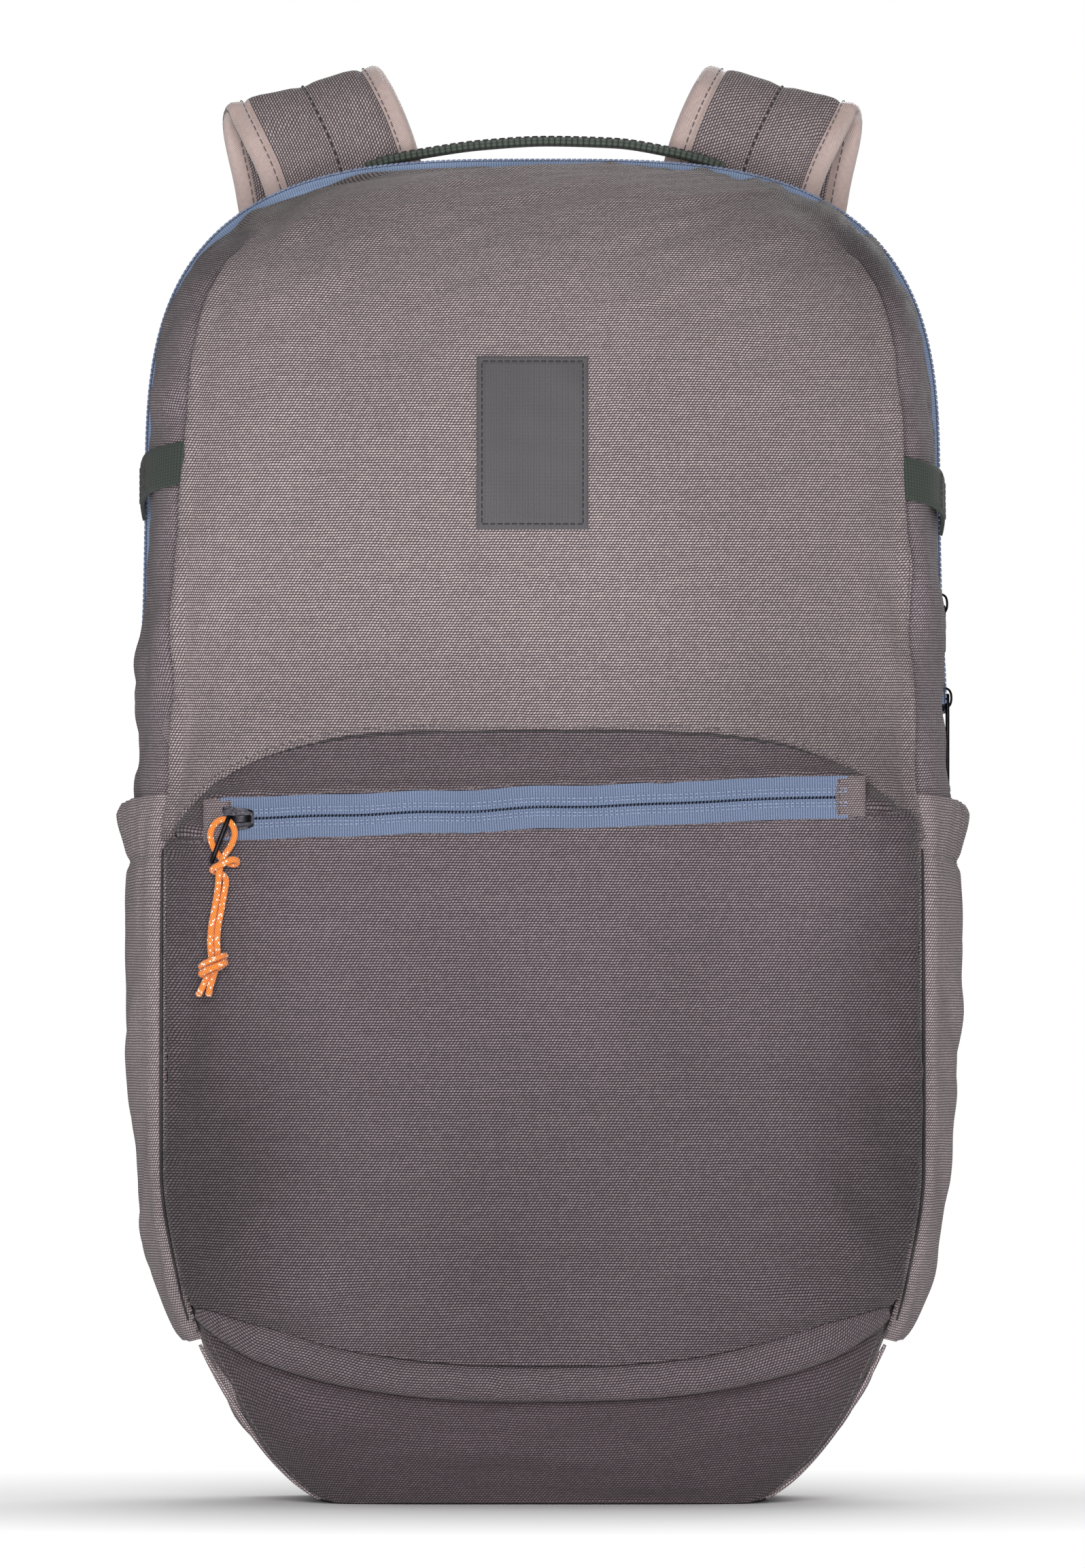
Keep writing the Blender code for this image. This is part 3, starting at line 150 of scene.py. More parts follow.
def half_width(z):
    """Half width of the body in the main zip's plane."""
    z = np.asarray(z, float)
    growth = LOWER_HALF_WIDTH - BASE_HALF_WIDTH
    low = BASE_HALF_WIDTH + growth * swell(z, LOWER_CURVE_HEIGHT)
    t = np.clip((z - ARCH_START) / (HEIGHT - ARCH_START), 0, 1)
    arch = ARCH_HALF_WIDTH * (1 - t ** ARCH_POWER) ** (1 / ARCH_POWER)
    return np.where(z < LOWER_CURVE_HEIGHT, low, np.where(z < ARCH_START, side_line(z), arch))


def front_depth(z):
    """Distance from the zip plane to the front of the body."""
    z = np.asarray(z, float)
    low = FRONT_BASE_DEPTH + (FRONT_DEPTH - FRONT_BASE_DEPTH) * swell(z, 0.07)
    t = np.clip((z - 0.26) / (HEIGHT - 0.26), 0, 1)
    return np.where(z < 0.07, low, FRONT_DEPTH * (1 - t ** 3) ** (1 / 2.2))


def rear_depth(z):
    """Distance from the zip plane to the back panel."""
    return REAR_BASE_DEPTH + (BACK_Y - ZIP_Y - REAR_BASE_DEPTH) * swell(z, 0.05)


def front_y(x, z):
    """Depth coordinate of the shell's front at a place seen from the front."""
    ratio = np.minimum(np.abs(x) / half_width(z), 0.9999)
    return ZIP_Y - front_depth(z) * (1 - ratio ** SECTION_POWER) ** (1 / SECTION_POWER)


def section_angle(x, z):
    """Angle round the section of the front at x: 0 at the right zip, a quarter turn in the middle."""
    ratio = np.minimum(np.abs(x) / half_width(z), 0.9999)
    return np.arctan2((1 - ratio ** SECTION_POWER) ** (1 / SECTION_POWER), ratio)


def seam_angle(z):
    """Section angle of the front seam, carried on above the dart at the same share of the width."""
    level = np.minimum(z, DART_TIP)
    return section_angle(front_seam(level), level)


def tape_angle(z):
    """Section angle where the flap's cloth ends and the main zip tape begins."""
    ratio = np.minimum((MAIN_TAPE + 0.0004) / np.maximum(front_depth(z), 1e-4), 0.999)
    return np.arctan2(ratio, (1 - ratio ** SECTION_POWER) ** (1 / SECTION_POWER))


def shell(turn, z):
    """Points of the shell. turn < 0: section angle -turn, to the front; turn 0..1: to the back."""
    turn, z = np.broadcast_arrays(np.asarray(turn, float), np.asarray(z, float))
    c, s = np.cos(-turn), np.sin(-turn)
    k = (np.abs(c) ** SECTION_POWER + np.abs(s) ** SECTION_POWER) ** (-1 / SECTION_POWER)
    ahead = np.stack([half_width(z) * c * k, ZIP_Y - front_depth(z) * s * k, z], -1)
    behind = np.stack([half_width(z) - REAR_INSET * turn ** 2, ZIP_Y + rear_depth(z) * turn, z], -1)
    return np.where((turn <= 0)[..., None], ahead, behind)


def zip_height(x):
    """Middle of the front pocket's zip."""
    return ZIP_HEIGHT + ZIP_TILT * x


def roll_height(x):
    """Middle of the rolled seam under the front pocket."""
    return ROLL_HEIGHT + ROLL_RISE * np.minimum(np.abs(x) / ROLL_HALF_WIDTH, 1.05) ** 2.65


def arch_height(x):
    """Seam between the flap's cloth and the front pocket's top panel."""
    return ARCH_FOOT + ARCH_RISE * (1 - np.minimum(np.abs(x) / ARCH_HALF_SPAN, 1.0) ** 4) ** 0.7


def pocket_y(x, z):
    """Outer face of the front pocket: flat in the middle, rounding back to its side seams."""
    seam_x = front_seam(z)
    edge_y = front_y(seam_x, z) - POCKET_GAP
    start = shoulder(z)
    t = np.clip((np.abs(x) / seam_x - start) / (1 - start), 0, 1)
    bulge = edge_y + (belly_y(z) - edge_y) * np.sqrt(1 - t * t)
    return np.minimum(bulge, front_y(x, z) - POCKET_GAP)


def base_seam(z):
    """Half width of the base panel where it meets the side panel."""
    return BASE_SEAM_FOOT + BASE_SEAM_SPREAD * (np.minimum(z, BASE_SEAM_TOP) / BASE_SEAM_TOP) ** 0.6


def side_edge_angle(z):
    """Section angle of the side panel's front edge."""
    return section_angle(np.where(z < BASE_SEAM_TOP, base_seam(z), front_seam(z)), z)


# ---- small mathematics -------------------------------------------------------------------------
def ease(value, low, high):
    """0 below low, 1 above high, smooth between."""
    t = np.clip((value - low) / (high - low), 0, 1)
    return t * t * (3 - 2 * t)


def hill(distance, width):
    """1 at no distance, falling away smoothly over the width."""
    return np.exp(-(distance / width) ** 2)


def ripple(u, v, size, seed, terms=8):
    """Uneven smooth swelling between about -1 and 1, with features of one size."""
    draw = np.random.default_rng(seed)
    total = 0.0
    for _ in range(terms):
        heading, phase = draw.uniform(0, 2 * math.pi, 2)
        rate = 2 * math.pi / size * draw.uniform(0.55, 1.35)
        total = total + np.sin(rate * (u * math.cos(heading) + v * math.sin(heading)) + phase)
    return total / math.sqrt(terms) * 0.8


def crease(x, z, start, end, width, height):
    """A soft fold from start to end with a shallow trough beside it."""
    run, rise = end[0] - start[0], end[1] - start[1]
    length = math.hypot(run, rise)
    along = ((x - start[0]) * run + (z - start[1]) * rise) / length ** 2
    off = ((x - start[0]) * rise - (z - start[1]) * run) / length
    taper = np.sin(math.pi * np.clip(along, 0, 1)) ** 0.8
    return height * taper * (hill(off, width) - 0.6 * hill(off - 1.7 * width, width))


def folds(x, z, creases):
    """All the soft folds of a table of (start, end, width, height)."""
    return sum(crease(x, z, *fold) for fold in creases)


def unit(vectors):
    """The vectors, each made one unit long."""
    return vectors / (np.linalg.norm(vectors, axis=-1, keepdims=True) + 1e-15)


def normals_of(grid):
    """Outward directions of a grid whose columns run to the right and rows run up."""
    return unit(np.cross(np.gradient(grid, axis=1), np.gradient(grid, axis=0)))


def arc(grid, axis):
    """Distance walked along one axis of a grid from its first row or column."""
    step = np.linalg.norm(np.diff(grid, axis=axis), axis=-1)
    return np.insert(np.cumsum(step, axis=axis), 0, 0.0, axis=axis)


def edge_distance(grid, axis):
    """Distance of each grid point to the nearer of its two ends along an axis."""
    walked = arc(grid, axis)
    whole = walked[:, -1:] if axis == 1 else walked[-1:, :]
    return np.minimum(walked, whole - walked)


def rim_distance(grid):
    """Distance of each grid point to the nearest edge of the grid."""
    return np.minimum(edge_distance(grid, 0), edge_distance(grid, 1))


def handed(grid, flip):
    """The grid, or for flip -1 its mirror image, with its columns still running to the right."""
    grid[..., 0] *= flip
    return grid[:, ::-1] if flip < 0 else grid


def cloth_map(across, up):
    """Cloth coordinates from the distances across and up."""
    return np.stack([across, up, np.zeros_like(across)], -1)


def circle(count):
    """Cosines and sines of equal steps round a circle."""
    turn = np.linspace(0, 2 * math.pi, count, endpoint=False)
    return np.cos(turn), np.sin(turn)


def fuller(value, power):
    """A number between -1 and 1, drawn towards the nearer end, with its sign kept."""
    return np.sign(value) * np.abs(value) ** power


def walk(path):
    """Distance walked along a path to each of its points."""
    return np.insert(np.cumsum(np.linalg.norm(np.diff(path, axis=0), axis=1)), 0, 0.0)


def at_distances(where, walked, field):
    """Rows of a field of three numbers at places along a walk."""
    return np.stack([np.interp(where, walked, field[:, k]) for k in range(3)], -1)


def curve_through(points, count):
    """Evenly stepped points on a smooth curve through the given points."""
    points = np.array(points, float)
    knots = np.arange(len(points))
    where = np.linspace(0, len(points) - 1, count)
    return np.stack([through(list(zip(knots, points[:, k])))(where) for k in range(3)], -1)


def resampled(path, step):
    """Points one step apart along a path."""
    walked = walk(path)
    where = np.linspace(0, walked[-1], max(2, round(walked[-1] / step) + 1))
    return at_distances(where, walked, path)


def smoothed(path, rounds=2):
    """The path with its corners rounded and its ends kept."""
    for _ in range(rounds):
        path = np.concatenate([path[:1], (path[:-2] + 2 * path[1:-1] + path[2:]) / 4, path[-1:]])
    return path


def directions(path, closed=False):
    """Way that a path runs at each of its points."""
    if closed:
        return unit(np.roll(path, -1, axis=0) - np.roll(path, 1, axis=0))
    return unit(np.gradient(path, axis=0))


def mirrored(points):
    """The points on the other side of the middle plane."""
    return points * np.array([-1.0, 1.0, 1.0])


def linear(red, green, blue):
    """Shader colour of a display colour given in 0..255."""
    values = np.array([red, green, blue]) / 255
    low, high = values / 12.92, ((values + 0.055) / 1.055) ** 2.4
    return (*np.where(values <= 0.04045, low, high).tolist(), 1.0)


def shade(colour, factor):
    """The colour made lighter or darker by a factor."""
    return (*(channel * factor for channel in colour[:3]), 1.0)


# ---- camera ------------------------------------------------------------------------------------
CAMERA_DISTANCE = 9.0
VIEW_HEIGHT = 0.568           # what the picture spans from top to bottom, at the main zip
VIEW_CENTRE = 0.2581


def camera():
    """A long lens on the middle of the front, level, because the photograph shows hardly any depth."""
    data = bpy.data.cameras.new("camera")
    data.sensor_fit = "VERTICAL"
    data.lens = data.sensor_height * (CAMERA_DISTANCE + ZIP_Y) / VIEW_HEIGHT
    data.clip_end = 60.0
    made = bpy.data.objects.new("camera", data)
    made.location = (0.0, -CAMERA_DISTANCE, VIEW_CENTRE)
    made.rotation_euler = (math.pi / 2, 0.0, 0.0)
    bpy.context.collection.objects.link(made)
    bpy.context.scene.camera = made


# ---- materials ---------------------------------------------------------------------------------
class Shader:
    """A material, with short ways to add its nodes. Patterns read the cloth coordinates, in metres."""

    def __init__(self, name, roughness=0.8, sheen=0.0, metallic=0.0, specular=0.35):
        self.material = bpy.data.materials.new(name)
        self.material.use_nodes = True
        self.tree = self.material.node_tree
        self.surface = self.tree.nodes["Principled BSDF"]
        self.set("Roughness", roughness)
        self.set("Metallic", metallic)
        self.set("Specular IOR Level", specular)
        if sheen:
            self.set("Sheen Weight", sheen)
            self.set("Sheen Roughness", 0.45)

    def set(self, socket, value):
        self.surface.inputs[socket].default_value = value

    def plug(self, node, inputs):
        for key, value in inputs.items():
            socket = node.inputs[key]
            if isinstance(value, bpy.types.NodeSocket):
                self.tree.links.new(value, socket)
            else:
                socket.default_value = value

    def node(self, kind, inputs=None, **settings):
        made = self.tree.nodes.new("ShaderNode" + kind)
        for key, value in settings.items():
            setattr(made, key, value)
        self.plug(made, inputs or {})
        return made

    def cloth(self):
        """Cloth coordinates: across, up, and a number that differs between pieces."""
        return self.node("Attribute", attribute_name="cloth").outputs["Vector"]

    def math(self, operation, a, b=0.0):
        return self.node("Math", {0: a, 1: b}, operation=operation).outputs[0]

    def times(self, a, b):
        return self.math("MULTIPLY", a, b)

    def plus(self, a, b):
        return self.math("ADD", a, b)

    def minus(self, a, b):
        return self.math("SUBTRACT", a, b)

    def scaled(self, vector, factor):
        made = self.node("VectorMath", {0: vector, "Scale": factor}, operation="SCALE")
        return made.outputs["Vector"]

    def vector_math(self, operation, a, b):
        return self.node("VectorMath", {0: a, 1: b}, operation=operation).outputs["Vector"]

    def split(self, vector):
        return self.node("SeparateXYZ", {0: vector}).outputs

    def noise(self, vector, scale, detail=2.0, roughness=0.5):
        inputs = {"Vector": vector, "Scale": scale, "Detail": detail, "Roughness": roughness}
        return self.node("TexNoise", inputs).outputs[0]

    def flecks(self, vector, scale, detail, low, high):
        """Fine unevenness between two values."""
        return self.spread(self.noise(vector, scale, detail), 0.3, 0.7, low, high)

    def chance(self, column, row):
        """A random number for each cell of a pattern."""
        cell = self.node("CombineXYZ", {0: column, 1: row}).outputs[0]
        return self.node("TexWhiteNoise", {"Vector": cell}, noise_dimensions="2D").outputs["Value"]

    def mix(self, factor, a, b):
        made = self.node("Mix", data_type="RGBA")
        self.plug(made, {0: factor, 6: a, 7: b})
        return made.outputs[2]

    def spread(self, value, low, high, to_low=0.0, to_high=1.0):
        inputs = {"Value": value, "From Min": low, "From Max": high,
                  "To Min": to_low, "To Max": to_high}
        return self.node("MapRange", inputs).outputs["Result"]

    def relief(self, height, distance, strength=1.0):
        made = self.node("Bump", {"Height": height, "Distance": distance, "Strength": strength})
        self.plug(self.surface, {"Normal": made.outputs["Normal"]})

    def colour(self, socket):
        self.plug(self.surface, {"Base Color": socket})

    def rough(self, socket):
        self.plug(self.surface, {"Roughness": socket})


KNUCKLE_WIDE = 0.00119        # repeat of the weave across and up
KNUCKLE_TALL = 0.00095
KNUCKLE_SLANT = 0.35          # how far a knuckle leans, as a share of its width
YARN_WANDER = (0.0006, 0.0005, 0.0)
MESH_CELL = 0.0032            # repeat of the spacer mesh's holes
BRAID_CELL = 0.0011           # repeat of the cord's strands


def wave(shader, coordinate, pitch):
    """0 between two threads and 1 on a thread."""
    return shader.math("ABSOLUTE", shader.math("SINE", shader.times(coordinate, math.pi / pitch)))


def woven(name, light, dark, relief=0.00022, sheen=0.06, scale=1.0):
    """Coarse plain weave: staggered rows of light slanted knuckles over dark gaps, with uneven yarn,
    darkened by the painted shade in the deep attribute.
    """
    s = Shader(name, sheen=sheen, specular=0.2)
    cloth = s.cloth()
    wobble = s.node("TexNoise", {"Vector": cloth, "Scale": 150.0, "Detail": 2.0}).outputs[1]
    moved = s.vector_math("SUBTRACT", wobble, (0.5, 0.5, 0.5))
    shift = s.vector_math("MULTIPLY", moved, YARN_WANDER)
    place = s.split(s.vector_math("ADD", cloth, shift))
    rows = s.math("DIVIDE", place[1], KNUCKLE_TALL * scale)
    row, up = s.math("FLOOR", rows), s.math("FRACT", rows)
    slant = s.times(up, KNUCKLE_SLANT)
    columns = s.math("DIVIDE", place[0], KNUCKLE_WIDE * scale)
    staggered = s.minus(s.plus(columns, s.times(row, 0.5)), slant)
    across = s.math("FRACT", staggered)
    bulge = s.times(s.math("POWER", s.math("SINE", s.times(across, math.pi)), 0.75),
                   s.math("SINE", s.times(up, math.pi)))
    uneven = s.chance(s.math("FLOOR", staggered), row)
    fleck = s.flecks(cloth, 2600.0, 3.0, 0.86, 1.12)
    level = s.times(s.times(bulge, s.spread(uneven, 0.0, 1.0, 0.78, 1.08)), fleck)
    yarn = s.flecks(s.vector_math("MULTIPLY", cloth, (0.04, 1.0, 1.0)), 700.0, 1.0, 0.94, 1.05)
    drift = s.spread(s.noise(cloth, 9.0, 3.0, 0.6), 0.3, 0.7, 0.95, 1.05)
    base = s.mix(s.spread(level, 0.12, 1.05), dark, light)
    # The deep attribute is painted shade: it darkens the colour where the cloth lies in shade.
    deep = s.node("Attribute", attribute_name="deep").outputs["Fac"]
    strength = s.times(s.times(drift, yarn), s.minus(1.0, deep))
    s.colour(s.scaled(base, strength))
    s.rough(s.spread(level, 0.0, 1.0, 0.92, 0.62))
    s.relief(level, relief)
    return s.material


def ribbed(name, light, dark, pitch, cross, relief, roughness=0.75, sheen=0.05):
    """Webbing or tape: ribs across the run, crossed by finer threads."""
    s = Shader(name, sheen=sheen, specular=0.3)
    cloth = s.cloth()
    place = s.split(cloth)
    rib, thread = wave(s, place[0], pitch), wave(s, place[1], cross)
    height = s.times(s.math("POWER", rib, 0.6), s.spread(thread, 0.0, 1.0, 0.55, 1.0))
    fleck = s.flecks(cloth, 1500.0, 3.0, 0.85, 1.15)
    drift = s.flecks(cloth, 25.0, 2.0, 0.92, 1.08)
    base = s.mix(s.times(height, fleck), dark, light)
    s.colour(s.scaled(base, drift))
    s.rough(s.spread(height, 0.0, 1.0, min(roughness + 0.15, 1.0), roughness - 0.1))
    s.relief(height, relief)
    return s.material


def satin(name, light, dark):
    """Bias binding: fine slanted ribs with a soft shine."""
    s = Shader(name, roughness=0.5, sheen=0.35, specular=0.4)
    cloth = s.cloth()
    place = s.split(cloth)
    rib = wave(s, s.plus(place[0], place[1]), 0.00075)
    fleck = s.flecks(cloth, 700.0, 3.0, 0.85, 1.12)
    s.colour(s.mix(s.times(s.spread(rib, 0.0, 1.0, 0.45, 1.0), fleck), dark, light))
    s.rough(s.flecks(cloth, 60.0, 2.0, 0.42, 0.62))
    s.relief(rib, 0.00012)
    return s.material


def spacer_mesh(name, light, dark):
    """Airy padded mesh: rows of staggered oval holes."""
    s = Shader(name, sheen=0.15, specular=0.25)
    cloth = s.cloth()
    place = s.split(cloth)
    a = s.plus(place[0], s.times(place[1], 0.58))
    b = s.minus(place[0], s.times(place[1], 0.58))
    bars = s.times(wave(s, a, MESH_CELL), wave(s, b, MESH_CELL))
    bridge = s.spread(bars, 0.25, 0.75, 1.0, 0.0)
    knit = s.flecks(cloth, 1400.0, 3.0, 0.8, 1.1)
    s.colour(s.mix(s.times(bridge, knit), dark, light))
    s.rough(s.spread(bridge, 0.0, 1.0, 0.95, 0.75))
    s.relief(bridge, 0.0006)
    return s.material


def braided(name, light, dark, fleck_colour):
    """Braided cord with scattered reflective strands."""
    s = Shader(name, roughness=0.6, sheen=0.2)
    place = s.split(s.cloth())
    a = s.times(s.plus(place[0], place[1]), 1 / BRAID_CELL)
    b = s.times(s.minus(place[0], place[1]), 1 / BRAID_CELL)
    height = s.math("POWER", s.times(wave(s, a, 1.0), wave(s, b, 1.0)), 0.5)
    chance = s.chance(s.math("FLOOR", a), s.math("FLOOR", b))
    fleck = s.times(s.math("GREATER_THAN", chance, 0.87), s.spread(height, 0.4, 0.7))
    s.colour(s.mix(fleck, s.mix(height, dark, light), fleck_colour))
    s.rough(s.spread(height, 0.0, 1.0, 0.85, 0.5))
    s.relief(height, 0.0003)
    return s.material


def thread(name, light, dark):
    """Twisted sewing thread."""
    s = Shader(name, roughness=0.6, sheen=0.2)
    place = s.node("TexCoord").outputs["Object"]
    s.colour(s.mix(s.spread(s.noise(place, 3000.0, 2.0), 0.35, 0.65), dark, light))
    s.rough(s.flecks(place, 900.0, 2.0, 0.5, 0.75))
    return s.material


def plastic(name, colour, grain=900.0, roughness=0.42):
    """Moulded plastic with a fine grain and slightly rubbed patches."""
    s = Shader(name, roughness=roughness, specular=0.5)
    place = s.node("TexCoord").outputs["Object"]
    fine = s.noise(place, grain, 4.0, 0.6)
    wear = s.noise(place, 35.0, 3.0)
    s.colour(s.mix(s.spread(wear, 0.35, 0.75), shade(colour, 0.85), shade(colour, 1.35)))
    s.rough(s.spread(wear, 0.3, 0.7, roughness - 0.08, roughness + 0.12))
    s.relief(fine, 0.00006)
    return s.material


def metal(name, colour):
    """Plated metal with a faint grain and small rubbed spots."""
    s = Shader(name, roughness=0.45, metallic=1.0, specular=0.5)
    place = s.node("TexCoord").outputs["Object"]
    rub = s.noise(place, 260.0, 4.0, 0.65)
    s.colour(s.mix(s.spread(rub, 0.45, 0.7), colour, shade(colour, 1.8)))
    s.rough(s.flecks(place, 1500.0, 3.0, 0.36, 0.56))
    s.relief(rub, 0.00003)
    return s.material


# Light and dark colour of each cloth, as display colours, and what sets its weave apart. Front, gusset,
# pocket, arch and base are one cloth in lighter and darker copies: painted light and shade, darker
# where the cloth faces down or to the side or lies under an edge.
WEAVES = {
    "front": ((186, 172, 170), (52, 43, 50), {}),
    "gusset": ((162, 149, 152), (50, 42, 49), {}),
    "pocket": ((140, 127, 131), (36, 29, 35), {}),
    "arch": ((126, 114, 118), (36, 29, 34), {}),
    "side": ((186, 171, 172), (66, 57, 62), {}),
    "base": ((106, 93, 97), (38, 31, 36), {"relief": 0.00014}),
    "strap": ((178, 164, 164), (54, 46, 50), {}),
    "lining": ((92, 92, 96), (52, 52, 56), {"relief": 0.00006, "scale": 0.6}),
    "tab": ((150, 137, 138), (58, 50, 54), {"scale": 0.85}),
}
# The same for tapes and webbings, with rib pitch, cross pitch and relief.
RIBBED = {
    "tape": ("zip_tape", (104, 117, 142), (40, 50, 74), 0.0009, 0.0007, 0.00016),
    "main_tape": ("main_zip_tape", (142, 160, 190), (78, 94, 124), 0.0009, 0.0007, 0.00012),
    "coil": ("zip_coil", (92, 106, 134), (24, 30, 46), 0.0013, 0.002, 0.0003, 0.5),
    "patch": ("patch_weave", (82, 80, 82), (46, 44, 46), 0.00055, 0.0005, 0.00006),
    "green": ("green_webbing", (58, 66, 59), (20, 26, 22), 0.0016, 0.0011, 0.0003),
    "handle": ("handle_webbing", (70, 78, 70), (20, 25, 21), 0.0021, 0.0015, 0.0002),
}
# Sewing threads. The groove thread serves as dark stitching on the label and straps, and as painted
# seam shadow laid into grooves.
THREADS = {
    "blue_thread": ("zip_thread", (136, 148, 174), (84, 96, 126)),
    "thread": ("grey_thread", (104, 94, 97), (54, 48, 51)),
    "groove": ("seam_shadow_and_dark_thread", (40, 34, 38), (22, 18, 21)),
    "dark_thread": ("dark_thread", (60, 58, 60), (28, 27, 29)),
}


def make_looks():
    """Every material of the object, by the name that the pieces call it."""
    looks = {
        "binding": satin("binding", linear(176, 156, 151), linear(112, 96, 93)),
        "mesh": spacer_mesh("spacer_mesh", linear(64, 62, 64), linear(16, 16, 17)),
        "plastic": plastic("black_plastic", linear(38, 38, 40)),
        "sheet": plastic("sheet_plastic", linear(190, 190, 186), 300.0, 0.5),
        "metal": metal("gunmetal", linear(32, 31, 34)),
        "cord": braided("orange_cord", linear(247, 140, 48), linear(176, 76, 16),
                        linear(250, 236, 214)),
    }
    for look, (light, dark, more) in WEAVES.items():
        looks[look] = woven(look + "_weave", linear(*light), linear(*dark), **more)
    for look, (name, light, dark, *more) in RIBBED.items():
        looks[look] = ribbed(name, linear(*light), linear(*dark), *more)
    for look, (name, light, dark) in THREADS.items():
        looks[look] = thread(name, linear(*light), linear(*dark))
    return looks


# ---- pieces ------------------------------------------------------------------------------------
# Bodies and heights between which the flap's cloth runs from the body to the flap; the cloth is baked
# in place, not bent.
FLAP_BEND = ("root", "flap", (0.0, 0.0, 0.2835), (0.0, 0.0, 0.347))
STITCH_SIDES = 6
# Ends of a stitch, and of a bar with eased ends, as shares of its length and radius.
STITCH_STATIONS = np.array([-0.5, -0.36, 0.36, 0.5])
STITCH_SIZES = np.array([0.35, 1.0, 1.0, 0.35])
BAR_SIZES = np.array([0.5, 0.9, 1.0, 1.0, 1.0, 0.9, 0.5])


